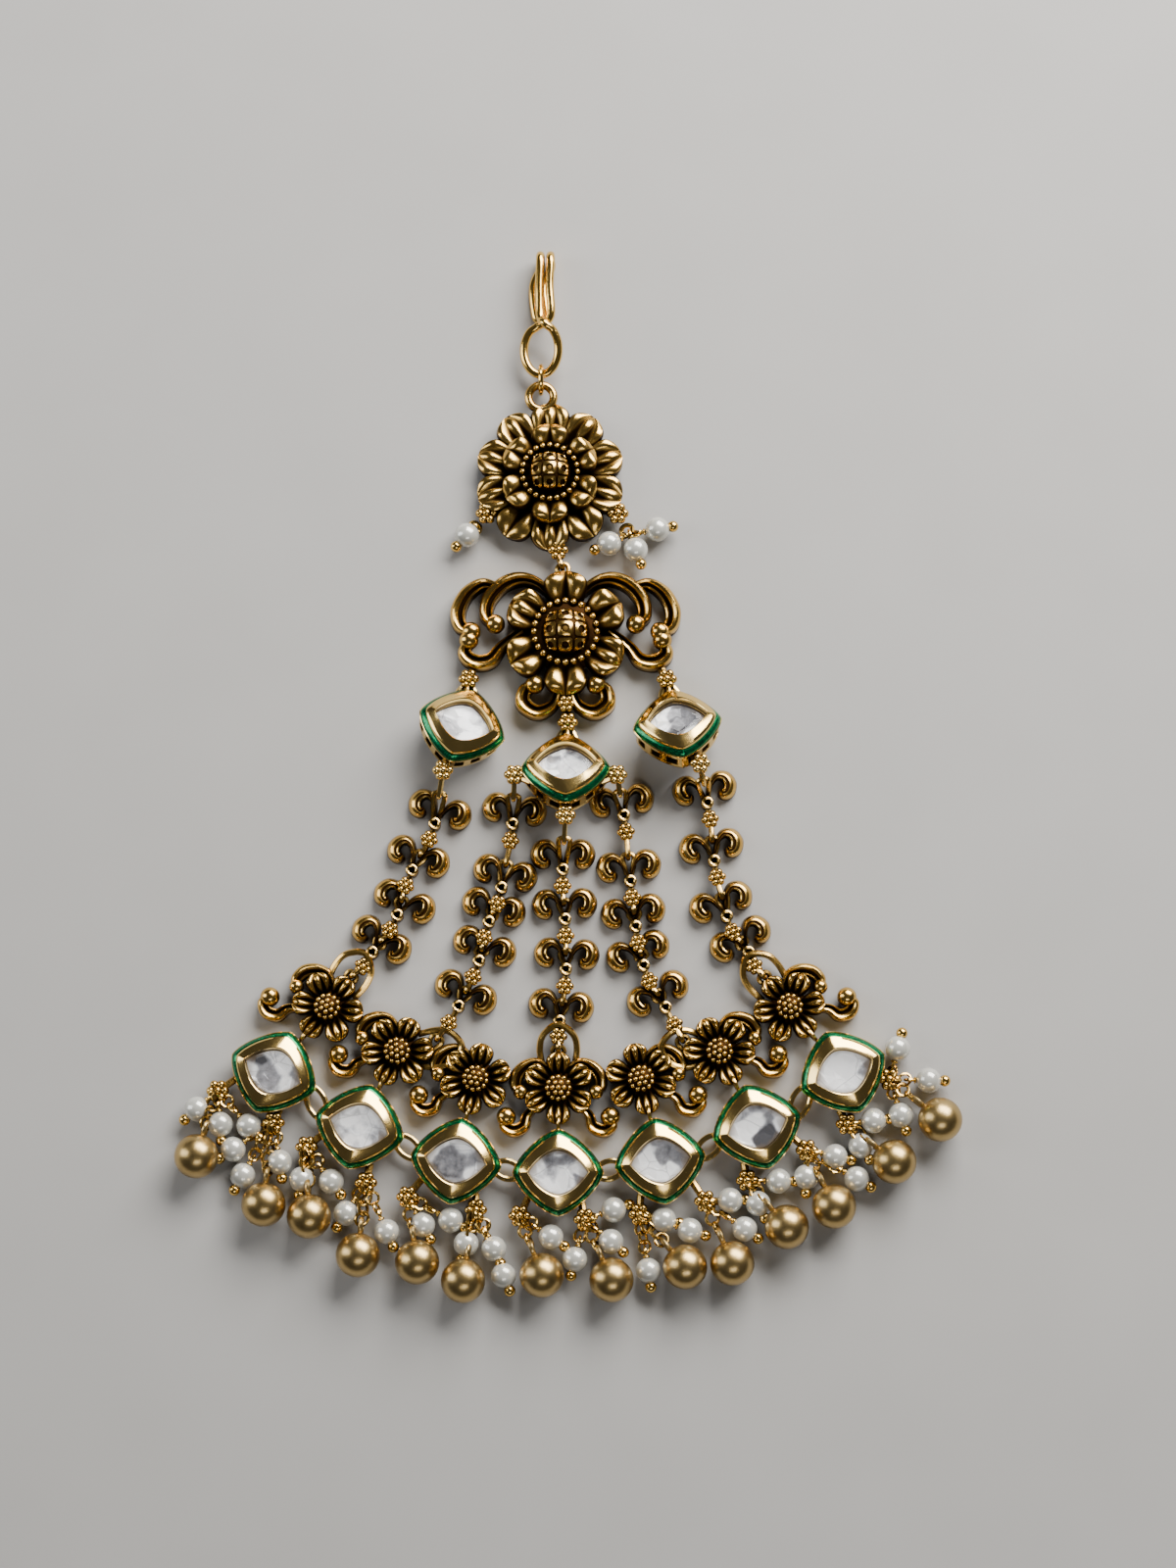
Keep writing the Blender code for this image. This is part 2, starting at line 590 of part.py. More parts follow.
def build_motif(index):
    """A six-petalled flower with scrolls on its outer side, or on both in the middle."""
    place, angle = fan_point(index, MOTIF_ROW)
    profile = ((MOTIF_RADIUS, 0.0, 0.26, 0.0),
               (0.84 * MOTIF_RADIUS, MOTIF_PETAL_HEIGHT, 0.24, PETAL_RISE),
               (1.1 * MOTIF_DOME_RADIUS, 0.8 * MOTIF_PETAL_HEIGHT, 0.0, 0.0),
               (0.5 * MOTIF_DOME_RADIUS, MOTIF_DOME_HEIGHT, 0.0, 0.0))
    bits = [flower(place, 6, 4, profile, angle)]
    middle = (FAN_COUNT - 1) / 2
    sides = [mirror for mirror in (-1, 1) if (index - middle) * mirror >= 0]
    for mirror in sides:
        for points in MOTIF_SCROLLS:
            bits.append(scroll(points, place, MOTIF_RADIUS, MOTIF_SCROLL_WIDTH, MOTIF_SCROLL_HEIGHT,
                               MOTIF_BALL, mirror, angle, sides=THIN_SIDES))
    return bits


def edge_point(matrix, angle, height=SETTING_WALL / 2):
    """A point of a setting's wall, in the direction of an angle of its own outline."""
    inset = FLANGE_STEP + LOOP_WIRE
    return matrix @ lozenge_point(SETTING_LENGTH / 2 - inset, SETTING_WIDTH / 2 - inset, angle, height)


def link(foot, up, end_floret):
    """Two curled horns that meet in a foot, and the floret below."""
    angle = atan2(up.y, up.x) - pi / 2
    middle = LINK_LEAF_HEIGHT / 2
    horn = []
    for mirror in (-1, 1):
        side = [lift(foot + turned(Vector((mirror * x * LINK_HALF_WIDTH, y * LINK_RISE)), angle), middle)
                for x, y in LINK_HORN]
        horn.append(side)
    points = list(reversed(horn[0])) + [lift(foot, middle)] + horn[1]
    shares = LEAF_SHARES + (2 * FOOT_RADIUS / LINK_LEAF,) + tuple(reversed(LEAF_SHARES))
    bits = [wire(points, [LINK_LEAF * share for share in shares],
                 [LINK_LEAF_HEIGHT * (0.5 + 0.5 * share) for share in shares], sides=THIN_SIDES)]
    bits.append(floret(end_floret, FLORET_BASE, angle))
    return bits


def build_chain(name, nodes, start, end):
    """A chain of links from a floret on the stone above to the floret at the fan."""
    route = carried(CHAIN_ROUTES[name], start, end)
    feet = route[1:-1]
    bits = nodes[name]
    spine = []
    for index, foot in enumerate(feet):
        up = (route[index] - route[index + 2]).normalized()
        end_floret = route[-1] if foot is feet[-1] else foot - up * LINK_FLORET_DROP
        bits.extend(link(foot, up, end_floret))
        spine.extend([lift(foot, NECK_LEVEL), lift(end_floret, NECK_LEVEL)])
    bits.append(wire(spine, [NECK_WIRE] * len(spine), sides=THIN_SIDES))
    return route


def settle(beads, posts, wells):
    """Push beads that lie on the sheet clear of each other, of posts and of the settings.

    A bead is [place, radius]; a post is a fixed place and radius; a well is a setting's matrix.
    """
    for _ in range(SETTLE_STEPS):
        for index, (place, radius) in enumerate(beads):
            for other, other_radius in beads[index + 1:]:
                reach = radius + other_radius + CLEARANCE
                needed = sqrt(reach ** 2 - (radius - other_radius) ** 2)
                gap = other - place
                short = needed - gap.length
                if short > 0:
                    push = gap.normalized() * (short / 2)
                    place -= push
                    other += push
            for post, post_radius in posts:
                gap = place - post
                short = radius + post_radius + CLEARANCE - gap.length
                if short > 0:
                    place += gap.normalized() * short
            for well in wells:
                gap = place - well.translation.xy
                turn = atan2(gap.y, gap.x) - atan2(well[1][0], well[0][0])
                edge = lozenge_point(SETTING_LENGTH / 2, SETTING_WIDTH / 2, turn).length
                short = edge + radius + CLEARANCE - gap.length
                if short > 0:
                    place += gap.normalized() * short


def build_drops(nodes, matrices):
    """Fourteen drops: a floret under a stone, a satin ball and pearls on pins."""
    beads = []
    posts = []
    plans = []
    for index, (floret_share, ball, pearls) in enumerate(DROPS):
        number = index // 2
        spot, angle = fan_point(number, STONE_ROW)
        hang_place = spot + turned(Vector((floret_share[0] * SETTING_LENGTH / 2,
                                           floret_share[1] * SETTING_WIDTH / 2)), angle)
        posts.append((hang_place, FLORET_RADIUS))
        own = []
        kinds = [(ball, BALL_RADIUS)] + [(pearl, PEARL_RADIUS) for pearl in pearls]
        for (degree, share), radius in kinds:
            course = turned(Vector((sin(radians(degree)), -cos(radians(degree)))), angle)
            own.append([hang_place + course * (share * DROP_LENGTH), radius])
        beads.extend(own)
        plans.append((number, hang_place, own))
    settle(beads, posts, matrices)
    for index, (number, hang_place, own) in enumerate(plans):
        bits = nodes["drop_%d" % (index + 1)]
        bits.append(floret(hang_place, FLORET_BASE))
        matrix = matrices[number]
        local = matrix.inverted() @ lift(hang_place)
        root = edge_point(matrix, atan2(local.y, local.x) + copysign(DROP_EYE_TURN, local.x))
        knot = lift(hang_place, FLORET_BASE + FLORET_HEIGHT / 2)
        inward = (root - knot).normalized()
        near = root - inward * (LOOP_WIRE + CLEARANCE)
        place, radius = own[0]
        bits.append(bead(lift(place, radius), radius, bands=3))
        bits.append(wire([near, knot, lift(place, radius)], [PIN_WIRE] * 3, sides=THIN_SIDES))


def build_side_pearls(nodes):
    """The small bunches of pearls at the upper flower's lower edge."""
    for place, (name, pearls) in zip(side_florets(), SIDE_PEARLS):
        beads = [[place + Vector(pearl) * DROP_LENGTH, PEARL_RADIUS] for pearl in pearls]
        settle(beads, [(place, FLORET_RADIUS), (UPPER_CENTRE, UPPER_RADIUS)], [])
        mean = sum((Vector(pearl) for pearl in pearls), Vector((0, 0))).normalized()
        crown = FLORET_RADIUS + CLEARANCE + LOOP_WIRE / 2
        centre = lift(place + mean * (crown + LOOP_RADIUS), FLORET_BASE)
        knot = lift(place + mean * (crown + 2 * LOOP_RADIUS), FLORET_BASE)
        bits = nodes[name]
        bits.append(bow(knot, centre, Z_UP, lift(-mean), LOOP_RADIUS, LOOP_WIRE))
        for spot, radius in beads:
            bits.append(bead(lift(spot, radius), radius, bands=3))
            bits.append(wire([knot, lift(spot, radius)], [2 * PIN_WIRE, PIN_WIRE], sides=THIN_SIDES))


def main():
    remove_everything()
    gold = material("antique_gold", (0.62, 0.42, 0.15), 1.0, 0.35)
    bright = material("bright_gold", (0.86, 0.62, 0.22), 1.0, 0.2)
    glass = material("clear_stone", (0.88, 0.91, 0.94), 0.0, 0.04, 0.6)
    root = bpy.data.objects.new("passa", None)
    bpy.context.collection.objects.link(root)
    nodes = defaultdict(list)

    # The top: hook, jump ring, flower and plaque
    link_place = UPPER_CENTRE + Vector((UPPER_FLORET_OFFSET, -UPPER_RADIUS))
    nodes["upper_flower"] = build_upper_flower(link_place)
    nodes["scroll_plaque"] = build_plaque()
    top_petal = lift(PLAQUE_CENTRE + Vector((0, 0.94 * PLAQUE_RADIUS)), 0.6 * PLAQUE_PETAL_HEIGHT)
    link_root = lift(link_place - Vector((0, 0.8 * FLORET_RADIUS)), FLORET_BASE + FLORET_HEIGHT / 2)
    hang(nodes["upper_flower"], link_root, nodes["scroll_plaque"], top_petal)
    between = (BAIL_WIRE + HOOK_WIRE) / 2 + CLEARANCE
    bail_top = bail_centre() + Vector((0, BAIL_RADIUS))
    eye_foot = bail_top + Vector((0, between))
    build_hook(bright, root, eye_foot)
    jump_radius = between / 2 + max(BAIL_WIRE, HOOK_WIRE) / 2 + LOOP_PLAY + JUMP_WIRE / 2
    jump = ring(lift((bail_top + eye_foot) / 2, EYE_LEVEL), Vector((1, 0, 0)), jump_radius,
                JUMP_WIRE, BEAD_SIDES)
    solid("jump_ring", [jump], bright, root)

    # Three stones hang from florets on the plaque
    upper = {}
    for name, floret_x, floret_y, lean_x, spin, tilt, toward, stem in UPPER_STONES:
        floret_place = PLAQUE_CENTRE + Vector((floret_x, floret_y)) * PLAQUE_HALF_SPAN
        turn = setting_turn(radians(spin), radians(tilt), radians(toward))
        above = FLORET_RADIUS + CLEARANCE + setting_reach(turn, Vector((0, 1, 0)))
        matrix = rested(floret_place + Vector((lean_x * SETTING_LENGTH / 2, -above)), turn)
        upper[name] = matrix
        nodes["scroll_plaque"].append(floret(floret_place, FLORET_BASE))
        stem_root = PLAQUE_CENTRE + Vector(stem) * PLAQUE_HALF_SPAN
        nodes["scroll_plaque"].append(wire([lift(stem_root, NECK_LEVEL),
                                            lift(floret_place, NECK_LEVEL)], [STEM_WIRE] * 2))
        nodes["setting_" + name] = [placed(lozenge_stack(setting_rows()), matrix)]
        nodes["stone_" + name] = [placed(lozenge_stack(stone_rows(), STONE_SIDES), matrix)]

    # The fan: seven motifs over seven set stones
    row = []
    for index in range(FAN_COUNT):
        place, angle = fan_point(index, STONE_ROW)
        matrix = rested(place, setting_turn(STONE_TURN * angle))
        row.append(matrix)
        name = "setting_%d" % (index + 1)
        nodes[name] = [placed(lozenge_stack(setting_rows()), matrix)]
        nodes["stone_%d" % (index + 1)] = [placed(lozenge_stack(stone_rows(), STONE_SIDES), matrix)]
    for index in range(FAN_COUNT):
        motif = nodes["motif_%d" % (index + 1)]
        motif.extend(build_motif(index))
        if index:
            reach_for(nodes["setting_%d" % index], edge_point(row[index - 1], 0),
                      edge_point(row[index], pi))

    # Five chains from the upper stones to the motifs
    for name, stone, start_angle, motif_index, across, above, petal in CHAIN_ENDS:
        matrix = upper[stone]
        solder = edge_point(matrix, radians(start_angle), SETTING_WALL)
        outward = (solder.xy - matrix.translation.xy).normalized()
        start = solder.xy + outward * (LOOP_WIRE + FLANGE_STEP + FLORET_RADIUS)
        start_base = max(0.0, solder.z - FLORET_HEIGHT)
        start_level = start_base + FLORET_HEIGHT / 2
        stem = [edge_point(matrix, radians(start_angle)), lift(start, start_level)]
        nodes["setting_" + stone].append(floret(start, start_base))
        nodes["setting_" + stone].append(wire(stem, [STEM_WIRE] * 2, sides=THIN_SIDES))
        place, angle = fan_point(motif_index, MOTIF_ROW)
        end = place + turned(Vector((across, above)) * MOTIF_RADIUS, angle)
        route = build_chain(name, nodes, start, end)
        first_up = (route[0] - route[1]).normalized()
        hang(nodes["setting_" + stone], lift(start, start_level),
             nodes[name], lift(route[1] + first_up * FOOT_RADIUS, LINK_LEAF_HEIGHT / 2))
        tip = place + turned(Vector((0, 0.9 * MOTIF_RADIUS)), angle + radians(petal))
        inward = (tip - end).normalized()
        hang(nodes[name], lift(end + inward * (0.5 * FLORET_RADIUS), FLORET_BASE + FLORET_HEIGHT / 2),
             nodes["motif_%d" % (motif_index + 1)], lift(tip, 0.5 * MOTIF_PETAL_HEIGHT))

    build_drops(nodes, row)
    build_side_pearls(nodes)
    for name, bits in nodes.items():
        finish = glass if name.startswith("stone_") else gold
        solid(name, bits, finish, root)

    # Centre the ornament over the origin
    bpy.context.view_layer.update()
    corners = [thing.matrix_world @ vertex.co
               for thing in root.children for vertex in thing.data.vertices]
    middle = [(min(c[axis] for c in corners) + max(c[axis] for c in corners)) / 2
              for axis in (0, 1)]
    root.location = (-middle[0], -middle[1], -min(c.z for c in corners))


main()
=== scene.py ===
# %% [markdown]
# A passa is the fan-shaped ornament that hangs at the side of the head. This lesson dresses the
# plain solids of one as it lies on a table: cast gold flowers with dark patina in their hollows,
# ram's-horn links, foiled stones in enamelled settings, and a fringe of satin balls and pearls.
# The solids come first, because every detailed piece is placed by them.

# %% Load the plain solids
from math import atan2, copysign, cos, pi, radians, sin, sqrt

import bmesh
import bpy
import numpy as np
from mathutils import Matrix, Vector


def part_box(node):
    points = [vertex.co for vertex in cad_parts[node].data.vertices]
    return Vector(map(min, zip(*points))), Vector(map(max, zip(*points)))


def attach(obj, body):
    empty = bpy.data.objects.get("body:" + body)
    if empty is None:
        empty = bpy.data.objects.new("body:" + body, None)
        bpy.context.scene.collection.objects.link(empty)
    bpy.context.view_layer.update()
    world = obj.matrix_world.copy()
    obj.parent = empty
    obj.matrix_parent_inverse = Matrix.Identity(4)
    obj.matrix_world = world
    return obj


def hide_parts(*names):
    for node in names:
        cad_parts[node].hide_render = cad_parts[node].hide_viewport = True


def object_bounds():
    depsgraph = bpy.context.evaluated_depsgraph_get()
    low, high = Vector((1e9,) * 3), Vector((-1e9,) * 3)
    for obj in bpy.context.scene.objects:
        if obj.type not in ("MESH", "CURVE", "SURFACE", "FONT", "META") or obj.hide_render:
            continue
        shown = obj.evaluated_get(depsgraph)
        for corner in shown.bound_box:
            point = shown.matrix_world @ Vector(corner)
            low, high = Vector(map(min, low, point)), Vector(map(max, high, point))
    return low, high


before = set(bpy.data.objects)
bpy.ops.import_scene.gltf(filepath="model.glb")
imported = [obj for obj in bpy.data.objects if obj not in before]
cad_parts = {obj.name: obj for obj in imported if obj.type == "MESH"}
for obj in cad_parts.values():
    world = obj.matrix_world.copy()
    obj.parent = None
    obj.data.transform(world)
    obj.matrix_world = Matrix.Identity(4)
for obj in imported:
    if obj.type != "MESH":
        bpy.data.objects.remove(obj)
cad_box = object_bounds()
MM = 0.001
print("solids:", len(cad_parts))

# %% [markdown]
# The layout is drawn flat and in millimetres, about the centre of the fan's arcs, as a jeweller
# would pin it out on a board. One place ties that drawing to the solids: where the middle stone
# of the lower row lies. A piece is turned into metres only when its mesh is made.

# %% Sizes of the layout
CLEARANCE = 0.3
SETTING_LENGTH = 10.7
SETTING_WIDTH = 10.2
ROUNDNESS = 1.4                  # 1 would be a plain lozenge and 2 an oval
FAN_STEP = radians(12.9)
FAN_COUNT = 7
STONE_ROW = (SETTING_LENGTH + 1.35) / FAN_STEP
MOTIF_RADIUS = 4.25
MOTIF_ROW = STONE_ROW - SETTING_WIDTH / 2 - 0.55 - MOTIF_RADIUS
PLAQUE_CENTRE = Vector((0.8, 10.9))
PLAQUE_RADIUS = 7.5
PLAQUE_HALF_SPAN = 13.2
UPPER_RADIUS = 9.1
UPPER_CENTRE = PLAQUE_CENTRE + Vector((-1.9, PLAQUE_RADIUS + 2.8 + UPPER_RADIUS))
FLORET_RADIUS = 1.1
FLORET_BASE = 1.0
FLORET_HEIGHT = 1.3
FLORET_MIDDLE = FLORET_BASE + FLORET_HEIGHT / 2
LOOP_RADIUS = 0.68
LOOP_WIRE = 0.4
BALL_RADIUS = 2.6
PEARL_RADIUS = 1.5
DROP_LENGTH = 8.0
Z_UP = Vector((0, 0, 1))


def box_middle(node):
    """The middle of a solid's box, in millimetres."""
    low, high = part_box(node)
    return (low + high) / (2 * MM)


ORIGIN = box_middle("stone_4").xy + Vector((0, STONE_ROW))
print("centre of the arcs at %.2f, %.2f mm" % tuple(ORIGIN))


# %% [markdown]
# A few small functions of the plane do most of the placing: a point on one of the arcs, a turned
# direction, and the outline of a rounded lozenge, which every setting shares.

# %% Geometry of the plane
def spoke(angle):
    """The direction at an angle from +X."""
    return Vector((cos(angle), sin(angle)))


def turned(vector, angle):
    """A direction in the sheet's plane, turned anticlockwise."""
    return Vector((vector.x * cos(angle) - vector.y * sin(angle),
                   vector.x * sin(angle) + vector.y * cos(angle)))


def lift(place, height=0.0):
    """A point of the layout as a point in space."""
    return Vector((place.x, place.y, height))


def fan_point(index, radius):
    """A place on one of the fan's arcs and the angle of its spoke."""
    angle = (index - (FAN_COUNT - 1) / 2) * FAN_STEP
    return spoke(angle - pi / 2) * radius, angle


def lozenge_point(inset, turn, height=0.0, pinch=0.0):
    """A point of a setting's outline, moved in by an inset. A pinch sharpens its two ends."""
    c, s = cos(turn), sin(turn)
    reach = (abs(c) ** ROUNDNESS + abs(s) ** ROUNDNESS) ** (-1 / ROUNDNESS)
    across, up = reach * c, reach * s
    lens = copysign(max(0.0, 1 - abs(across) ** 1.75) ** (1 / 1.12), up) - up
    return Vector(((SETTING_LENGTH / 2 - inset) * across,
                   (SETTING_WIDTH / 2 - inset * (1 + 0.34 * pinch)) * (up + pinch * lens), height))


# %% [markdown]
# The camera looks down at 81 degrees, judged from the photograph, on a pale floor. Antique
# gold needs something to reflect. A large window light stands behind, a softer panel to the left
# and a faint strip in front, and the surroundings stay dim, so bright and dark meet sharply on
# every crest.

# %% Camera, floor and lights
VIEW_ELEVATION = radians(81)
VIEW_DISTANCE = 0.4
VIEW_HEIGHT = 0.188
SENSOR = 24
VIEW_SHIFT = Vector((3.5, -7.1))
aim = lift(ORIGIN + VIEW_SHIFT) * MM
camera = bpy.data.objects.new("camera", bpy.data.cameras.new("camera"))
bpy.context.scene.collection.objects.link(camera)
camera.location = aim + Vector((0, -cos(VIEW_ELEVATION), sin(VIEW_ELEVATION))) * VIEW_DISTANCE
camera.rotation_euler = (aim - camera.location).to_track_quat('-Z', 'Y').to_euler()
camera.data.sensor_fit = 'VERTICAL'
camera.data.sensor_height = SENSOR
camera.data.lens = SENSOR * VIEW_DISTANCE / VIEW_HEIGHT
camera.data.clip_start = 0.01
bpy.context.scene.camera = camera


def softbox(name, direction, distance, width, height, power, colour):
    """An area light that faces the ornament."""
    lamp = bpy.data.lights.new(name, 'AREA')
    lamp.shape = 'RECTANGLE'
    lamp.size, lamp.size_y = width, height
    lamp.energy = power
    lamp.color = colour
    thing = bpy.data.objects.new(name, lamp)
    thing.location = aim + Vector(direction).normalized() * distance
    thing.rotation_euler = (aim - thing.location).to_track_quat('-Z', 'Y').to_euler()
    bpy.context.scene.collection.objects.link(thing)


softbox("window", (0.40, 0.72, 0.60), 0.46, 0.42, 0.28, 6.2, (1.0, 0.98, 0.95))
softbox("side_panel", (-0.85, 0.15, 0.42), 0.60, 0.24, 0.44, 1.6, (0.95, 0.97, 1.0))
softbox("front_strip", (0.12, -0.72, 0.92), 0.60, 0.30, 0.12, 0.50, (1.0, 0.98, 0.95))
world = bpy.data.worlds.new("studio")
bpy.context.scene.world = world
world.use_nodes = True
world.node_tree.nodes["Background"].inputs["Color"].default_value = (0.85, 0.85, 0.85, 1)
world.node_tree.nodes["Background"].inputs["Strength"].default_value = 0.06


# %% [markdown]
# Each finish is a small tree of shader nodes. Written as sums the trees stay readable, so one
# class wraps a node's output and lets it be added, multiplied or raised to a power. A sum of
# signals adds its own Math nodes, and everything else comes from one method that makes any node.

# %% Shader sums
class Signal:
    """One output of a shader node, which can be used in sums."""

    def __init__(self, finish, socket):
        self.finish = finish
        self.socket = socket

    def maths(self, operation, other, swapped=False):
        first, second = (other, self) if swapped else (self, other)
        return self.finish.node('ShaderNodeMath', {"operation": operation}, {0: first, 1: second})

    def __add__(self, other):
        return self.maths('ADD', other)

    def __sub__(self, other):
        return self.maths('SUBTRACT', other)

    def __mul__(self, other):
        return self.maths('MULTIPLY', other)

    def __pow__(self, other):
        return self.maths('POWER', other)

    def __rsub__(self, other):
        return self.maths('SUBTRACT', other, swapped=True)

    __radd__ = __add__
    __rmul__ = __mul__

    def clamped(self):
        return self.finish.node('ShaderNodeClamp', {}, {"Value": self})


class Finish:
    """A material whose Principled shader is fed by signals."""

    def __init__(self, name, **constants):
        self.material = bpy.data.materials.new(name)
        self.material.use_nodes = True
        self.tree = self.material.node_tree
        self.shader = self.tree.nodes["Principled BSDF"]
        for socket, value in constants.items():
            self.shader.inputs[socket.replace("_", " ")].default_value = value

    def node(self, kind, settings, values, output=0):
        """Make one node, set it up, then fill its sockets with numbers or signals."""
        made = self.tree.nodes.new(kind)
        for key, value in settings.items():
            if key == "stops":
                ramp = made.color_ramp
                while len(ramp.elements) < len(value):
                    ramp.elements.new(0.5)
                for element, (position, colour) in zip(ramp.elements, value):
                    element.position = position
                    element.color = (*colour, 1.0)
            else:
                setattr(made, key, value)
        for socket, value in values.items():
            self.fill(made.inputs[socket], value)
        return Signal(self, made.outputs[output])

    def fill(self, socket, value):
        """Link a signal to a socket, or set a number or colour on it."""
        if isinstance(value, Signal):
            self.tree.links.new(value.socket, socket)
        elif isinstance(value, tuple) and len(value) == 3 and socket.type == 'RGBA':
            socket.default_value = (*value, 1.0)
        else:
            socket.default_value = value

    def feed(self, **signals):
        """Join signals to the shader's own sockets."""
        for socket, value in signals.items():
            self.fill(self.shader.inputs[socket.replace("_", " ")], value)

    def blend(self, share, first, second):
        """A colour between two others."""
        return self.node('ShaderNodeMix', {"data_type": 'RGBA'}, {0: share, 6: first, 7: second}, 2)

    def place(self):
        """The point on the object that is being shaded."""
        return self.node('ShaderNodeTexCoord', {}, {}, "Object")

    def noise(self, scale, detail=2.0):
        """Soft clouds, so many to a metre."""
        return self.node('ShaderNodeTexNoise', {},
                         {"Vector": self.place(), "Scale": scale, "Detail": detail})

    def cells(self, scale, feature, output, **more):
        """Irregular cells, so many to a metre."""
        return self.node('ShaderNodeTexVoronoi', {"feature": feature},
                         {"Vector": self.place(), "Scale": scale, **more}, output)

    def grey(self, colour):
        """The brightness of a colour."""
        return self.node('ShaderNodeRGBToBW', {}, {"Color": colour})

    def wear(self):
        """The wear value that every modelled point carries."""
        return self.node('ShaderNodeAttribute', {"attribute_name": "wear"}, {}, "Fac")

    def bump(self, height, strength, distance):
        """A normal that stands up by a height, over a distance in metres."""
        return self.node('ShaderNodeBump', {},
                         {"Height": height, "Strength": strength, "Distance": distance})


# %% [markdown]
# Antique gold plate is bright where fingers and polishing cloths reach and almost black where the
# dark wax of the finish stays. Two things tell the shader where that is: a wear value that each
# modelled point carries, low in grooves and high on crests, and the shade that close neighbours
# throw, which the Ambient Occlusion node measures. Their product picks the colour and roughness.

# %% Antique golds
PATINA = (0.030, 0.013, 0.004)


def antique_gold(name, colour, deep, roughness, reach, patina_power, dents):
    """Gold plate with patina in its hollows."""
    finish = Finish(name, Metallic=1.0)
    open_sky = finish.node('ShaderNodeAmbientOcclusion', {"samples": 8}, {"Distance": reach}, "AO")
    cloud = finish.noise(900)
    grain = finish.noise(4000, 3.0)
    rubbed = finish.wear() * open_sky ** patina_power * (0.92 + 0.16 * cloud)
    polish = finish.node('ShaderNodeMapRange', {"interpolation_type": 'SMOOTHSTEP'},
                         {"Value": rubbed, "From Min": 0.22, "From Max": 0.85})
    tone = finish.blend(cloud, deep, colour)
    finish.feed(Base_Color=finish.blend(polish, PATINA, tone),
                Roughness=(roughness + 0.35 * (1 - polish) + 0.10 * (grain - 0.5)).clamped(),
                Normal=finish.bump(grain, dents, 0.00004))
    return finish.material


old_gold = antique_gold("old_gold", (0.92, 0.61, 0.175), (0.58, 0.31, 0.055), 0.20, 0.0016, 1.3, 0.25)
setting_gold = antique_gold("setting_gold", (0.97, 0.70, 0.25), (0.90, 0.60, 0.18), 0.15, 0.0010, 0.8, 0.012)
bright_gold = antique_gold("bright_gold", (0.95, 0.63, 0.17), (0.84, 0.50, 0.11), 0.16, 0.0008, 0.6, 0.10)


# %% [markdown]
# The balls are hollow brass beads with a satin plate, rougher than the castings, so their
# highlights are soft. The enamel is translucent green over bright flecks, and a little metal in
# the pearls' shader gives them their lustre. Real glass over a mirror would show only this dim
# room, so the silver foil has painted reflections, patches of white and grey in its colour, and
# a faint painted glow from its emission. The glass over it is a clear film that adds the gloss.

# %% Satin gold, enamel, pearl and glass
def satin_gold_finish():
    """Satin plate, mottled and finely grained."""
    finish = Finish("satin_gold", Metallic=1.0)
    cloud = finish.noise(450, 3.0)
    grain = finish.noise(6000, 2.0)
    finish.feed(Base_Color=finish.blend(cloud, (0.40, 0.275, 0.10), (0.62, 0.445, 0.195)),
                Roughness=0.25 + 0.12 * grain,
                Normal=finish.bump(grain, 0.3, 0.00003))
    return finish.material


def enamel_finish():
    """Translucent green over bright flecks of foil."""
    finish = Finish("green_enamel", Metallic=0.9, Roughness=0.22, Coat_Weight=0.3, Coat_Roughness=0.05)
    glint = finish.grey(finish.cells(5200.0, 'F1', "Color"))
    cloud = finish.noise(700)
    depth = (0.7 * glint + 0.6 * cloud - 0.15).clamped()
    finish.feed(Base_Color=finish.blend(depth, (0.0, 0.020, 0.008), (0.0, 0.30, 0.10)),
                Normal=finish.bump(glint, 0.5, 0.00005))
    return finish.material


def pearl_finish():
    """Pale lustre under a clear coat."""
    finish = Finish("pearl", Metallic=0.35, Roughness=0.24, Coat_Weight=0.9, Coat_Roughness=0.06)
    cloud = finish.noise(600, 2.0)
    finish.feed(Base_Color=finish.blend(cloud, (0.52, 0.51, 0.45), (0.72, 0.72, 0.66)),
                Normal=finish.bump(finish.noise(1800), 0.15, 0.00006))
    return finish.material


# Tones of the painted reflections in the foil, from near black through grey to white.
FOIL_PAINTED_REFLECTION_TONES = ((0.15, (0.05, 0.05, 0.055)), (0.34, (0.30, 0.30, 0.32)), (0.43, (0.66, 0.67, 0.69)),
              (0.54, (1.0, 1.0, 1.0)))


def foil_finish():
    """The silver foil under a stone: painted reflections in white and grey patches, a painted glow, wrinkles,
    creases and a brown edge.
    """
    # The emission is a painted glow: the foil lights itself in its own colour.
    finish = Finish("foil", Metallic=0.15, Emission_Strength=0.78)
    wrinkles = finish.noise(1500, 3.0)
    # The smooth cells and the wrinkles make painted reflections, patches of white and grey in the foil's
    # colour.
    patches = finish.cells(400.0, 'SMOOTH_F1', "Color", Smoothness=0.45)
    painted_reflection_level = finish.grey(patches) + 0.26 * (wrinkles - 0.5)
    tone = finish.node('ShaderNodeValToRGB', {"stops": FOIL_PAINTED_REFLECTION_TONES}, {"Fac": painted_reflection_level})
    crease = finish.cells(330.0, 'DISTANCE_TO_EDGE', "Distance")
    tone = finish.blend((0.55 + 18.0 * crease).clamped(), (0.10, 0.10, 0.11), tone)
    colour = finish.blend(finish.wear(), (0.20, 0.14, 0.08), tone)
    finish.feed(Base_Color=colour, Emission_Color=colour,
                Roughness=0.14 + 0.16 * wrinkles,
                Normal=finish.bump(wrinkles, 0.35, 0.0001))
    return finish.material


def glass_finish():
    """A clear, slightly uneven film that shines."""
    finish = Finish("clear_stone", Base_Color=(0.10, 0.10, 0.11, 1.0), Roughness=0.03, IOR=1.8,
                    Coat_Weight=1.0, Coat_Roughness=0.02)
    film = finish.noise(700)
    finish.feed(Alpha=0.10 + 0.08 * film, Normal=finish.bump(film, 0.06, 0.0001))
    return finish.material


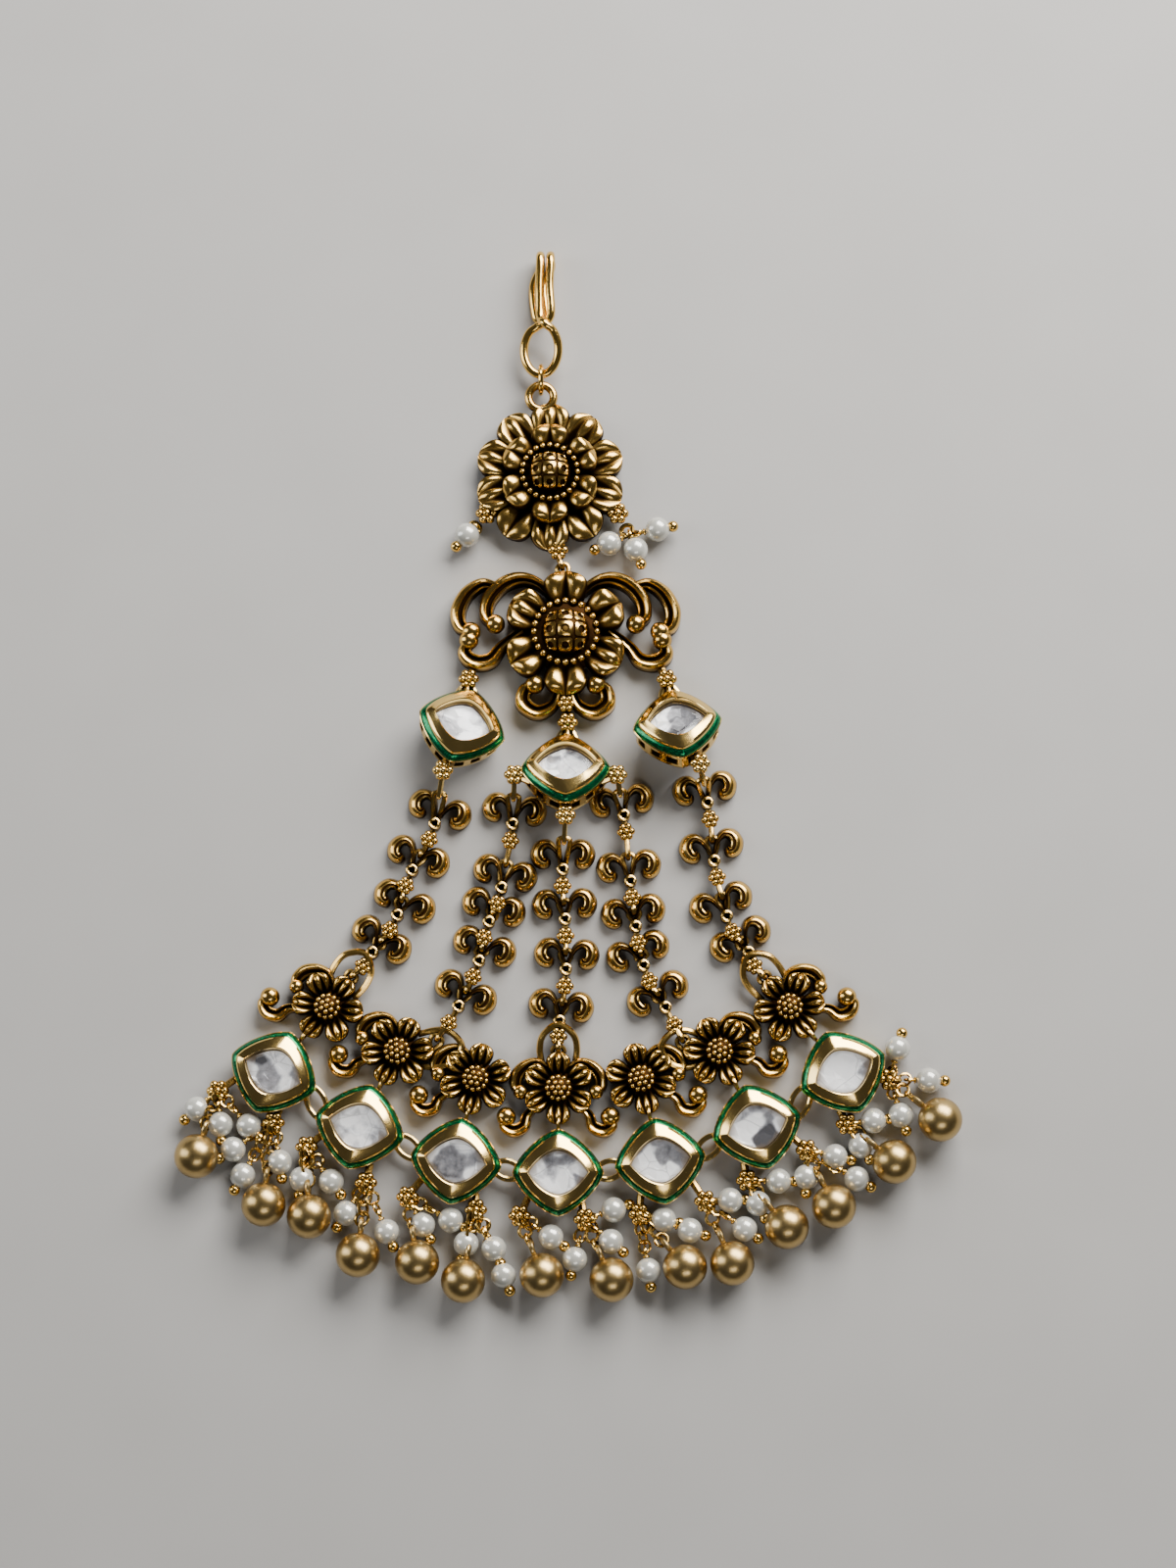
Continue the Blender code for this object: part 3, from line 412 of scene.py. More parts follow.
satin_gold = satin_gold_finish()
green_enamel = enamel_finish()
pearl = pearl_finish()
foil = foil_finish()
glass = glass_finish()


# %% [markdown]
# The floor is a plain pale sheet. It is staged, so it stays out of the ornament itself.

# %% Floor
def floor_finish():
    """Plain pale card."""
    finish = Finish("floor", Roughness=0.75)
    finish.feed(Base_Color=finish.blend(finish.noise(60), (0.40, 0.39, 0.375), (0.44, 0.43, 0.415)))
    return finish.material


bpy.ops.mesh.primitive_plane_add(size=3.0, location=(0, 0, cad_box[0][2]))
floor = bpy.context.object
floor.name = "floor"
floor.data.materials.append(floor_finish())


# %% [markdown]
# Cast metal is modelled as closed skins: a row of rings of points, joined by quads and capped at
# both ends. A casting gathers many such skins, with a wear value for every point, and turns them
# into one piece. Overlapping skins look soldered, which is what they are on the real thing.

# %% Castings
class Casting:
    """Closed skins that become one piece."""

    def __init__(self):
        self.points, self.faces, self.wear, self.count = [], [], [], 0

    def add(self, points, faces, wear):
        """Take in one skin. Wear is one number or one for each point."""
        points = np.asarray(points, float).reshape(-1, 3)
        self.points.append(points)
        self.wear.append(np.broadcast_to(np.ravel(np.asarray(wear, float)), len(points)))
        self.faces.extend([tuple(self.count + corner for corner in face) for face in faces])
        self.count += len(points)

    def loft(self, rings, wear=1.0, closed=False):
        """Skin rings of points, capped at both ends unless the last ring meets the first."""
        rings = np.asarray(rings, float)
        rows, columns = rings.shape[:2]
        faces = []
        for row in range(rows if closed else rows - 1):
            low = row * columns
            high = (row + 1) % rows * columns
            for column in range(columns):
                after = (column + 1) % columns
                faces.append((low + column, low + after, high + after, high + column))
        if not closed:
            faces.append(tuple(reversed(range(columns))))
            faces.append(tuple(range((rows - 1) * columns, rows * columns)))
        self.add(rings, faces, wear)

    def take(self, other, matrix):
        """Copy another casting in, moved by a matrix."""
        points = np.concatenate(other.points)
        moved = points @ np.array(matrix.to_3x3()).T + np.array(matrix.translation)
        self.add(moved, other.faces, np.concatenate(other.wear))

    def piece(self, name, finish, slot, stands_for=(), sharp=35):
        """Make the piece, ride it on the body and hide the solids it stands for."""
        mesh = bpy.data.meshes.new(name)
        points = (np.concatenate(self.points) + np.array((*ORIGIN, 0.0))) * MM
        mesh.from_pydata(points.tolist(), [], self.faces)
        work = bmesh.new()
        work.from_mesh(mesh)
        bmesh.ops.recalc_face_normals(work, faces=work.faces)
        work.to_mesh(mesh)
        work.free()
        mesh.attributes.new("wear", 'FLOAT', 'POINT').data.foreach_set("value", np.concatenate(self.wear))
        if sharp:
            mesh.shade_smooth()
            mesh.set_sharp_from_angle(angle=radians(sharp))
        thing = bpy.data.objects.new(name, mesh)
        bpy.context.scene.collection.objects.link(thing)
        mesh.materials.append(finish)
        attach(thing, "root")
        if stands_for:
            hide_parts(*stands_for)
        return thing


# %% [markdown]
# Beads, wires and turned tubes are the stock of the workshop. A wire is swept along a smooth
# curve through a few chosen points, and its section is carried along without twisting.

# %% Beads, curves and wires
def circle(sides):
    """Points round a circle of radius 1."""
    turns = 2 * pi * np.arange(sides) / sides
    return np.stack([np.cos(turns), np.sin(turns)], -1)


def round_rings(sides, profile):
    """Level circles, one for each radius and height of a profile."""
    return np.array([np.column_stack([circle(sides) * radius, np.full(sides, height)])
                     for radius, height in profile])


def unit_bead(sides, bands):
    """Rings of a ball with small flat poles."""
    lifts = pi * ((np.arange(bands) + 0.5) / bands - 0.5)
    return round_rings(sides, [(cos(up), sin(up)) for up in lifts])


FINE_BEAD = unit_bead(32, 20)
SMALL_BEAD = unit_bead(12, 8)


def bead(casting, centre, radius, shape=SMALL_BEAD):
    """A ball whose lower half keeps its patina."""
    casting.loft(np.array(centre) + shape * radius, np.clip(0.55 + 0.6 * shape[..., 2], 0.1, 1.0))


def curve(points, steps=8, closed=False):
    """A smooth curve through points, by Catmull and Rom's rule."""
    marks = np.asarray([tuple(point) for point in points], float)
    if closed:
        padded = np.concatenate([marks[-1:], marks, marks[:2]])
    else:
        padded = np.concatenate([2 * marks[:1] - marks[1:2], marks, 2 * marks[-1:] - marks[-2:-1]])
    found = []
    for index in range(len(padded) - 3):
        a, b, c, d = padded[index:index + 4]
        for t in np.arange(steps) / steps:
            found.append(b + 0.5 * t * (c - a + t * (2 * a - 5 * b + 4 * c - d
                                                     + t * (3 * (b - c) + d - a))))
    if not closed:
        found.append(marks[-1])
    return np.array(found)


def spread(values, count):
    """Numbers spread evenly along a curve."""
    return np.interp(np.linspace(0, 1, count), np.linspace(0, 1, len(values)), values)


def sweep(casting, path, section, widths, heights, wear=1.0, closed=False, upright=False):
    """Carry a section along a path. Its points are (across, up) in halves of width and height."""
    count = len(path)
    ahead = np.roll(path, -1, 0) - np.roll(path, 1, 0)
    if not closed:
        ahead[0] = path[1] - path[0]
        ahead[-1] = path[-1] - path[-2]
    ahead /= np.linalg.norm(ahead, axis=1)[:, None]
    upward = np.array((0.0, 0.0, 1.0))
    tall = np.array((0.0, 1.0, 0.0)) if abs(ahead[0, 2]) > 0.9 else upward
    talls = []
    for step in ahead:
        if upright:
            tall = upward
        tall = tall - step * tall.dot(step)
        tall = tall / np.linalg.norm(tall)
        talls.append(tall)
    talls = np.array(talls)
    acrosses = np.cross(ahead, talls)
    section = np.asarray(section, float)
    widths = np.broadcast_to(widths, count)[:, None, None] / 2
    heights = np.broadcast_to(heights, count)[:, None, None] / 2
    rings = (path[:, None] + acrosses[:, None] * section[None, :, :1] * widths
             + talls[:, None] * section[None, :, 1:] * heights)
    marks = np.broadcast_to(np.asarray(wear, float), (count, len(section)))
    casting.loft(rings, marks, closed)


def wire(casting, points, thickness, steps=6, closed=False, sides=8, wear=0.95):
    """A round wire through points."""
    path = curve(points, steps, closed)
    sweep(casting, path, circle(sides), thickness, thickness, wear, closed)


def ring(casting, centre, axis, radius, thickness, sides=8, wear=0.95, across=1.0):
    """A closed wire ring round an axis, narrowed along its second direction if asked."""
    axis = Vector(axis).normalized()
    first = axis.orthogonal().normalized()
    second = axis.cross(first)
    points = [Vector(centre) + (first * cos(turn) + second * sin(turn) * across) * radius
              for turn in np.arange(12) * pi / 6]
    wire(casting, points, thickness, 3, True, sides, wear)


def turned_tube(casting, centre, profile, sides=24):
    """A turned shape. Each profile row holds a radius, a height and a wear."""
    rows = np.array(list(profile), float)
    casting.loft(round_rings(sides, rows[:, :2]) + np.array(centre), np.repeat(rows[:, 2], sides))


# %% [markdown]
# A floret is the jeweller's cheapest ornament, six granules soldered round a seventh. It hides
# every joint between two castings, so it turns up nearly fifty times here.

# %% Florets
GRANULE = 0.43
SETTING_FLORET = 1.15            # shares of the plain floret's size
LARGE_FLORET = 1.24


def granule_ring(casting, centre, radius, height, count, size, turn=0.0):
    """Granules round a circle."""
    for step in range(count):
        spot = centre + spoke(turn + 2 * pi * step / count) * radius
        bead(casting, lift(spot, height), size)


def floret(casting, place, base, turn=0.0, size=1.0):
    """Six granules round one, on a small disc."""
    radius, grain = FLORET_RADIUS * size, GRANULE * size
    core, neck = 0.9 * radius - 0.2, 0.7 * FLORET_HEIGHT
    turned_tube(casting, lift(place, base), ((core, 0.0, 0.2), (core, neck, 0.1), (0.1, neck, 0.1)), 12)
    height = base + FLORET_HEIGHT - grain
    granule_ring(casting, place, radius - grain, height, 6, grain, turn)
    bead(casting, lift(place, height + 0.2), grain)


# %% [markdown]
# The petals are spoons of thick metal: a rounded rim, a fall of side wall below it, and ribs that
# run lengthwise with deep grooves between. Each one is a loft of cross-sections from its root to
# its tip, and the ribs are one term of the height.

# %% Petals and flowers
PETAL_ROWS = 18
PETAL_COLUMNS = 21
PETAL_CUP = 0.35
FOOT_WEAR = 0.25


def petal(casting, centre, turn, root, tip, half_width, base, rim, ribs, belly=0.62,
          root_share=0.45, tip_drop=0.45, groove=0.32):
    """One petal from a root radius to a tip radius. Heights are above the sheet."""
    length, thick = tip - root, rim - base
    v = np.linspace(-1, 1, PETAL_COLUMNS)
    wave = np.sin if ribs % 2 == 0 else np.cos
    rib = np.abs(wave(pi * v * ribs / 2))
    sink = 0.5 * PETAL_CUP * (1 - v * v) + 0.30 * np.maximum(0.0, 1 - (1 - np.abs(v)) / 0.10)
    sections, wear = [], []
    for u in np.sin(pi / 2 * np.linspace(0, 1, PETAL_ROWS)):
        if u < belly:
            width = half_width * (root_share + (1 - root_share) * sin(pi / 2 * u / belly))
        else:
            width = half_width * sqrt(max(0.02, 1 - ((u - belly) / (1 - belly)) ** 2))
        rise = sin(pi / 2 * min(1.0, u / 0.7) * 0.9 + 0.1) - tip_drop * max(0.0, (u - 0.72) / 0.28) ** 2
        depth = groove * (1 - rib ** 0.6) * min(1.0, 2.0 * (1 - u) + 0.12)
        heights = base + thick * (rise - depth - 0.5 * sink)
        top = np.stack([width * v, np.full(PETAL_COLUMNS, root + length * u), heights], -1)
        left, right = [(side * 0.92 * width, root + 0.98 * length * u, 0.35 * base) for side in (-1, 1)]
        sections.append([left, *top, right])
        crest = np.minimum(1.0, 0.05 + rib ** 0.9 + 0.55 * max(0.0, u - 0.55))
        wear.append([FOOT_WEAR, *(crest * (0.22 + 0.78 * min(1.0, u / 0.6))), FOOT_WEAR])
    spin = np.array(Matrix.Rotation(turn, 3, 'Z'))
    casting.loft(np.array(sections) @ spin.T + np.array(lift(centre)), wear)


def petals(casting, centre, ribs, turn=0.0, **shape):
    """A tier of petals, one for each number of ribs."""
    for step, count in enumerate(ribs):
        petal(casting, centre, turn + 2 * pi * step / len(ribs), ribs=count, **shape)


def web(casting, centre, radii, heights, sides=32):
    """The dark plate that joins the roots of the petals."""
    turned_tube(casting, lift(centre), zip(radii, heights, (0.1, 0.1, 0.0, 0.0)), sides)


# %% [markdown]
# The heart of the two large flowers is a dome tiled with square plates, each with a punched hole.
# The plates follow the dome, so they are drawn flat and then wrapped over it by arc length.

# %% Plated domes
def dome(casting, centre, base, radius, height, bands, wear, tip, sides):
    """A plain dome with a small flat tip."""
    rises = [pi / 2 * step / bands for step in range(bands)]
    rows = [(radius * cos(rise), height * sin(rise), wear) for rise in rises]
    turned_tube(casting, lift(centre, base), rows + [(tip, height, 0.5)], sides)


def dome_point(centre, radius, base, height, s, t, raised=0.0):
    """Wrap flat coordinates over a dome."""
    spread_angle = sqrt(s * s + t * t) / radius
    course = atan2(t, s)
    reach = (radius + raised) * sin(spread_angle)
    return Vector((centre.x + reach * cos(course), centre.y + reach * sin(course),
                   base + (height + raised) * cos(spread_angle)))


# Each row of a plate is its half size, how square it is, its height in mm and its wear.
PLATE_ROWS = ((0.48, 1, -0.20, 0.0), (0.48, 1, 0.04, 0.4), (0.45, 1, 0.18, 1.4), (0.36, 0.7, 0.22, 1.6),
              (0.29, 0, 0.24, 1.8), (0.26, 0, 0.18, 0.5), (0.25, 0, 0.02, 0.0), (0.20, 0, -0.14, 0.0),
              (0.02, 0, -0.16, 0.0))
PLATE_SIDES = 24
PLATE_PITCH = 1.10


def plated_dome(casting, centre, radius, base, top, plate):
    """A dome with three columns of three holed plates."""
    height = top - base
    dome(casting, centre, base, radius, height, 9, 0.3, 0.08 * radius, 32)
    places = [(column, row) for column in (-1, 0, 1) for row in (-1, 0, 1)]
    for column, row in places:
        rings = []
        for size, squareness, raised, _ in PLATE_ROWS:
            corners = []
            for turn in 2 * pi * (np.arange(PLATE_SIDES) + 0.5) / PLATE_SIDES:
                square = 1 / max(abs(cos(turn)), abs(sin(turn)))
                reach = size * (square * squareness + 1 - squareness)
                s = (column * PLATE_PITCH + reach * cos(turn)) * plate
                t = (row * PLATE_PITCH + reach * sin(turn)) * plate
                corners.append(dome_point(centre, radius, base, height, s, t, raised))
            rings.append(corners)
        casting.loft(rings, np.repeat([plate_row[3] for plate_row in PLATE_ROWS], PLATE_SIDES))


# %% [markdown]
# Two castings are never soldered to each other. Each has a small bow of wire at its edge, one
# upright and one flat, and the two bows hold each other. On the real ornament this keeps it limp.

# %% Bows that join the castings
BOW_WIRE = 0.60


def bow(casting, root, centre, axis, toward, radius=LOOP_RADIUS):
    """A loop of wire that leaves a piece at its root and runs round a centre."""
    side = axis.cross(toward) * radius
    ahead = toward * radius
    points = [root + side * 0.45, centre + side, centre + (ahead + side) * 0.75, centre + ahead,
              centre + (ahead - side) * 0.75, centre - side, root - side * 0.45]
    wire(casting, points, BOW_WIRE, 5)


def hang(carrier, carrier_root, hung, hung_root):
    """Join two pieces by an upright bow on the first that holds a flat bow on the second."""
    course = (hung_root - carrier_root).normalized()
    across = course.cross(Z_UP).normalized()
    middle = (carrier_root + hung_root) / 2
    reach = course * (LOOP_RADIUS - (LOOP_WIRE + 0.2) / 2)
    bow(carrier, carrier_root, middle - reach, across, course)
    bow(hung, hung_root, middle + reach, across.cross(course), -course)


# %% [markdown]
# The upper flower carries everything. Ten broad petals lie under six smaller ones, and a collar
# of granules stands round the dome. The bail for the jump ring is soldered to its top.

# %% The upper flower
BAIL_RADIUS = 1.52
BAIL_WIRE = 1.0
EYE_LEVEL = 2.0
BAIL_CENTRE = UPPER_CENTRE + Vector((-1.1, UPPER_RADIUS + 0.5 * BAIL_RADIUS))
LINK_PLACE = UPPER_CENTRE + Vector((1.0, -UPPER_RADIUS))
SIDE_FLORETS = [UPPER_CENTRE + Vector(share) * UPPER_RADIUS for share in ((-0.84, -0.5), (0.90, -0.5))]
upper = Casting()
web(upper, UPPER_CENTRE, np.array((0.62, 0.66, 0.5, 0.1)) * UPPER_RADIUS, (0.6, 1.1, 1.5, 2.6))
petals(upper, UPPER_CENTRE, (3, 3, 3, 3, 2, 3, 2, 3, 3, 3), root=2.6, tip=UPPER_RADIUS,
       half_width=2.4, base=1.0, rim=2.9, belly=0.72, groove=0.5)
petals(upper, UPPER_CENTRE, (2,) * 6, root=2.2, tip=6.1, half_width=2.25, base=2.5, rim=4.7)
granule_ring(upper, UPPER_CENTRE, 3.3, 4.3, 24, 0.36)
plated_dome(upper, UPPER_CENTRE, radius=2.5, base=3.8, top=6.4, plate=1.58)
ring(upper, lift(BAIL_CENTRE, EYE_LEVEL), (0, 0, 1), BAIL_RADIUS, BAIL_WIRE, 12)
floret(upper, LINK_PLACE, FLORET_BASE, size=SETTING_FLORET)
for place in SIDE_FLORETS:
    floret(upper, place, FLORET_BASE, size=LARGE_FLORET)

# %% [markdown]
# The plaque below is one casting too, a six-petalled flower held between eight C scrolls. A
# scroll's section has two ridges and a valley, so it reads as two bright lines, and its free end
# curls into a ball.

# %% Scrolls
SCROLL_SECTION = ((-1, -1), (-1, 0.10), (-0.93, 0.55), (-0.74, 0.86), (-0.44, 1.0), (-0.14, 0.92),
                  (0.10, 0.68), (0.22, 0.40), (0.40, 0.32), (0.54, 0.46), (0.62, 0.74), (0.76, 0.84),
                  (0.92, 0.74), (1, 0.40), (1, -1))
SCROLL_WEAR = (0.4, 0.8, 1.0, 1.0, 1.0, 1.0, 0.7, 0.1, 0.0, 0.2, 1.0, 1.0, 1.0, 0.7, 0.4)
PLAQUE_SCROLLS = (
    ((-0.12, 0.36), (-0.26, 0.48), (-0.42, 0.52), (-0.58, 0.46), (-0.70, 0.32), (-0.72, 0.17),
     (-0.64, 0.09)),
    ((-0.62, 0.44), (-0.76, 0.47), (-0.90, 0.38), (-0.98, 0.22), (-0.96, 0.08), (-0.86, 0.02)),
    ((-0.40, 0.03), (-0.58, -0.12), (-0.68, -0.24), (-0.82, -0.26), (-0.92, -0.18),
     (-0.88, -0.06)),
    ((-0.06, -0.52), (-0.12, -0.66), (-0.26, -0.72), (-0.38, -0.64), (-0.37, -0.52),
     (-0.28, -0.47)),
)
MOTIF_SCROLLS = (
    ((0.28, 0.58), (0.62, 0.72), (0.92, 0.62), (1.14, 0.38), (1.18, 0.08), (1.04, -0.10)),
    ((0.62, -0.50), (0.86, -0.74), (0.96, -1.04), (1.24, -1.16), (1.48, -1.02), (1.44, -0.78)),
)


def scroll_hand(path):
    """1 or -1, so that a section's left side falls on the outside of the path's curl."""
    steps = np.diff(path, axis=0)
    return -copysign(1.0, np.sum(steps[:-1, 0] * steps[1:, 1] - steps[:-1, 1] * steps[1:, 0]))


def scroll(casting, points, centre, span, width, height, ball, mirror, turn=0.0):
    """A cast C scroll, drawn from shares of its piece's half span."""
    places = [lift(centre + turned(Vector((x * mirror, y)) * span, turn), height / 2) for x, y in points]
    path = curve(places, 7)
    widths = spread((0.65, 0.9, 1.15, 1.25, 1.1, 0.8), len(path)) * width
    section = np.array(SCROLL_SECTION) * (scroll_hand(path), 1)
    sweep(casting, path, section, widths, height, SCROLL_WEAR, upright=True)
    bead(casting, lift(places[-1], height - 0.55 * ball), ball, FINE_BEAD)


plaque = Casting()
web(plaque, PLAQUE_CENTRE, np.array((0.6, 0.62, 0.5, 0.1)) * PLAQUE_RADIUS, (0.6, 1.3, 1.8, 2.6))
petals(plaque, PLAQUE_CENTRE, (2, 3, 2, 2, 3, 2), root=2.6, tip=7.6, half_width=2.65, base=1.2,
       rim=3.6, belly=0.66, groove=0.42)
granule_ring(plaque, PLAQUE_CENTRE, 3.75, 3.2, 24, 0.40)
plated_dome(plaque, PLAQUE_CENTRE, radius=2.9, base=2.4, top=5.2, plate=1.84)
for mirror in (1, -1):
    for points in PLAQUE_SCROLLS:
        scroll(plaque, points, PLAQUE_CENTRE, PLAQUE_HALF_SPAN, 1.55, 2.4, 1.18, mirror)
floret(plaque, PLAQUE_CENTRE + Vector((0.1, -8.6)), 1.2)
hang(upper, lift(LINK_PLACE - Vector((0, 0.8 * FLORET_RADIUS)), FLORET_MIDDLE),
     plaque, lift(PLAQUE_CENTRE + Vector((0, 0.94 * PLAQUE_RADIUS)), 1.8))

# %% [markdown]
# A setting is a deep box with small slots in its wall, a flange, a channel of enamel and a bezel
# whose polished slopes rise to a thin ridge and fall again to the stone. All of it is one outline
# repeated at other insets and heights, so the setting is a table of rows. The slots come from
# pushing some of the wall's points inward.

# %% Settings
OUTLINE = 96
SLOT_DEPTH = 0.45
SETTING_ROWS = (
    (0.40, 0.0, 0.4), (0.35, 0.12, 0.9), (0.35, 0.50, 0.7), (0.35, 0.55, 0.7), (0.35, 1.55, 0.7),
    (0.35, 1.60, 0.8), (0.32, 2.15, 0.8), (0.10, 2.28, 0.7), (0.0, 2.40, 1.0), (0.0, 2.50, 1.0),
    (0.08, 2.58, 0.8), (0.16, 2.56, 0.1), (0.66, 3.08, 0.1), (0.70, 3.26, 0.6), (0.71, 3.52, 1.2),
    (0.76, 3.62, 1.8), (1.06, 3.80, 2.0), (1.38, 4.00, 2.0), (1.58, 4.14, 2.0), (1.66, 4.20, 2.0),
    (1.72, 4.15, 1.8), (1.77, 3.98, 0.9), (1.83, 3.60, 0.5), (1.87, 3.42, 0.6), (1.89, 3.36, 1.3),
    (1.93, 3.30, 0.8), (1.94, 2.60, 0.2), (2.6, 2.40, 0.2))
SLOT_ROWS = (3, 4)


def pinch_of(inset):
    """How far the outline has turned from the box's shape into the window's."""
    return min(1.0, max(0.0, (inset - 0.9) / 0.8))


def outline_rings(rows, matrix, count=OUTLINE):
    """The setting's outline at each row's inset and height."""
    turns = 2 * pi * np.arange(count) / count
    return np.array([[matrix @ lozenge_point(inset, turn, height, pinch_of(inset)) for turn in turns]
                     for inset, height, *_ in rows])


def in_slot(step):
    """Whether a point of the outline lies in one of its slots, three to a side."""
    return 2 <= step % 8 <= 5 and step % 24 not in (0, 1, 2, 22, 23)


def setting(casting, matrix):
    """The metal of one setting."""
    rings = outline_rings(SETTING_ROWS, matrix)
    wear = np.array([[mark] * OUTLINE for _, _, mark in SETTING_ROWS])
    inner = outline_rings([(inset + SLOT_DEPTH, height) for inset, height, _ in SETTING_ROWS], matrix)
    slots = np.ix_(SLOT_ROWS, [step for step in range(OUTLINE) if in_slot(step)])
    rings[slots] = inner[slots]
    wear[slots] = 0.0
    casting.loft(rings, wear)


def enamel(matrix):
    """The band of enamel in the channel under the bezel."""
    band = Casting()
    band.loft(outline_rings(((0.12, 2.50), (0.10, 2.60), (0.16, 2.74), (0.34, 2.96), (0.54, 3.12),
                             (0.68, 3.20), (0.72, 3.12), (0.64, 2.80)), matrix), 1.0, closed=True)
    return band


# %% [markdown]
# The stones are flat-cut glass over silver foil. Clear glass alone would show the floor of its
# box, so a dished, wrinkled foil lies under each one and throws the light back, with painted
# reflections and a painted glow in its finish. A thin irregular crown of glass with a table and
# a ring of facets covers it.

# %% Stones
STONE_SIDES = 12
chance = np.random.default_rng(7)


def facet_turn(step, shifted):
    """The direction of one corner. A shifted row's corners lie between those of its neighbour."""
    return 2 * pi * (step + 0.5 * shifted) / STONE_SIDES


def stone_foil(matrix):
    """The dished foil under a stone, in flat facets."""
    cup = Casting()
    rings = []
    for inset, height, shifted, stray in (
            (1.78, 2.20, 0, 0.0), (1.78, 3.02, 0, 0.0), (2.75, 2.80, 1, 0.16), (4.0, 2.66, 0, 0.10)):
        shake = chance.uniform(-1, 1, (STONE_SIDES, 3)) * stray
        rings.append([matrix @ (lozenge_point(inset, facet_turn(step, shifted), height) + Vector(shake[step]))
                      for step in range(STONE_SIDES)])
    cup.loft(rings, np.repeat((0.0, 0.2, 1.0, 1.0), STONE_SIDES))
    return cup


def stone_glass(matrix):
    """A crown of glass: a table, facets round it and a flat back."""
    crown = Casting()
    rings = []
    for inset, height, shifted, stray in (
            (1.80, 3.06, 0, 0.0), (1.78, 3.16, 0, 0.0), (2.45, 3.52, 1, 0.12), (3.20, 3.66, 1, 0.18)):
        shake = chance.uniform(-1, 1, STONE_SIDES) * stray
        rings.append([matrix @ lozenge_point(inset + shake[step], facet_turn(step, shifted), height)
                      for step in range(STONE_SIDES)])
    crown.loft(rings)
    return crown


# %% [markdown]
# The three upper stones lie tipped on the cloth, and the seven lower ones lie flat and turn with
# their arc. The tip and turn are chosen, and the place of each comes from its solid.

# %% Seats of the stones
UPPER_SEATS = {"left": (-18, 20, 55), "right": (8, 28, 95), "centre": (0, 28, 90)}
STONE_TURN = 0.6
STONE_BOX_ROWS = ((2.10, 3.0), (2.10, 3.45), (3.20, 3.90))


def setting_turn(spin, tilt=0.0, lean=0.0):
    """Spin a setting, then tip its face toward a direction of the sheet."""
    axis = Vector((-sin(lean), cos(lean), 0))
    return Matrix.Rotation(tilt, 4, axis) @ Matrix.Rotation(spin, 4, 'Z')


def seated(name, turn):
    """The matrix of a setting whose stone fills the solid's box."""
    corners = outline_rings(STONE_BOX_ROWS, turn, STONE_SIDES).reshape(-1, 3)
    middle = box_middle("stone_" + name) - lift(ORIGIN)
    return Matrix.Translation(middle - Vector((corners.min(0) + corners.max(0)) / 2)) @ turn


seats = {name: seated(name, setting_turn(*[radians(value) for value in row]))
         for name, row in UPPER_SEATS.items()}
for index in range(FAN_COUNT):
    seats[str(index + 1)] = seated(str(index + 1), setting_turn(STONE_TURN * fan_point(index, 1)[1]))
settings = {name: Casting() for name in seats}
for name, matrix in seats.items():
    setting(settings[name], matrix)
    enamel(matrix).piece("enamel_" + name, green_enamel, "green_enamel")
    # Each foil carries the painted reflections and the painted glow of its finish.
    stone_foil(matrix).piece("foil_" + name, foil, "clear_stone", sharp=0)
    stone_glass(matrix).piece("glass_" + name, glass, "clear_stone", ("stone_" + name,), sharp=0)
print("middle stone rests at %.3f mm" % seats["4"].translation.z)

# %% [markdown]
# Seven small flowers stand over the lower stones. Their petals are narrow with three ribs, and
# their hearts are packed with granules. A ring at the foot of each leads to its stone.

# %% The fan's flowers
MOTIF_BALLS = (0.88, 1.16)


def motif(index):
    """A six-petalled flower with scrolls on its outer side, or on both in the middle."""
    casting = Casting()
    place, angle = fan_point(index, MOTIF_ROW)
    web(casting, place, (2.2, 2.3, 1.8, 0.3), (0.5, 0.9, 1.3, 2.0), 24)
    petals(casting, place, (3,) * 6, angle, root=1.1, tip=MOTIF_RADIUS, half_width=1.45, base=0.9,
           rim=2.6, belly=0.66, root_share=0.35, groove=0.5, tip_drop=0.35)
    dome(casting, place, 1.7, 1.65, 1.6, 7, 0.25, 0.1, 24)
    for count, reach, height in ((1, 0.0, 3.22), (6, 0.66, 3.05), (12, 1.28, 2.55)):
        granule_ring(casting, place, reach, height, count, 0.31, angle)
    for mirror in (-1, 1):
        if angle * mirror >= 0:
            for points, ball in zip(MOTIF_SCROLLS, MOTIF_BALLS):
                scroll(casting, points, place, MOTIF_RADIUS, 1.3, 1.9, ball, mirror, angle)
    foot = place + turned(Vector((0, -0.98 * MOTIF_RADIUS)), angle)
    ring(casting, lift(foot, 1.6), lift(spoke(angle)), 0.85, 0.45)
    return casting


motifs = [motif(index) for index in range(FAN_COUNT)]


# %% [markdown]
# A link is a pair of ram's horns. Each horn is a thick curled leaf, with a thin bright rim along
# its inner edge and a puffed polished back that falls away outside it. At the bottom of the V
# stands a short tube. All links are one casting, so it is made once and copied.

# %% Links
HORN = ((0.0, 0.05), (0.15, 0.44), (0.34, 0.80), (0.60, 0.98), (0.86, 0.90), (0.98, 0.64), (0.90, 0.38),
        (0.72, 0.30), (0.62, 0.44))
HORN_WIDTHS = (0.26, 0.34, 0.56, 0.86, 1.12, 1.24, 1.12, 0.82, 0.48)
HORN_SECTION = ((-0.48, -1), (-0.48, 0.76), (-0.42, 0.94), (-0.31, 1.0), (-0.20, 0.92), (-0.12, 0.66),
                (0.00, 0.64), (0.18, 0.72), (0.44, 0.62), (0.70, 0.34), (0.90, -0.06), (1.0, -0.50),
                (0.96, -1))
HORN_WEAR = (0.0, 0.4, 1.3, 1.5, 1.3, 0.1, 0.1, 0.6, 0.9, 1.0, 0.8, 0.5, 0.2)
LINK_HALF_WIDTH = 2.9
LINK_RISE = 3.1
LINK_LEAF = 1.75
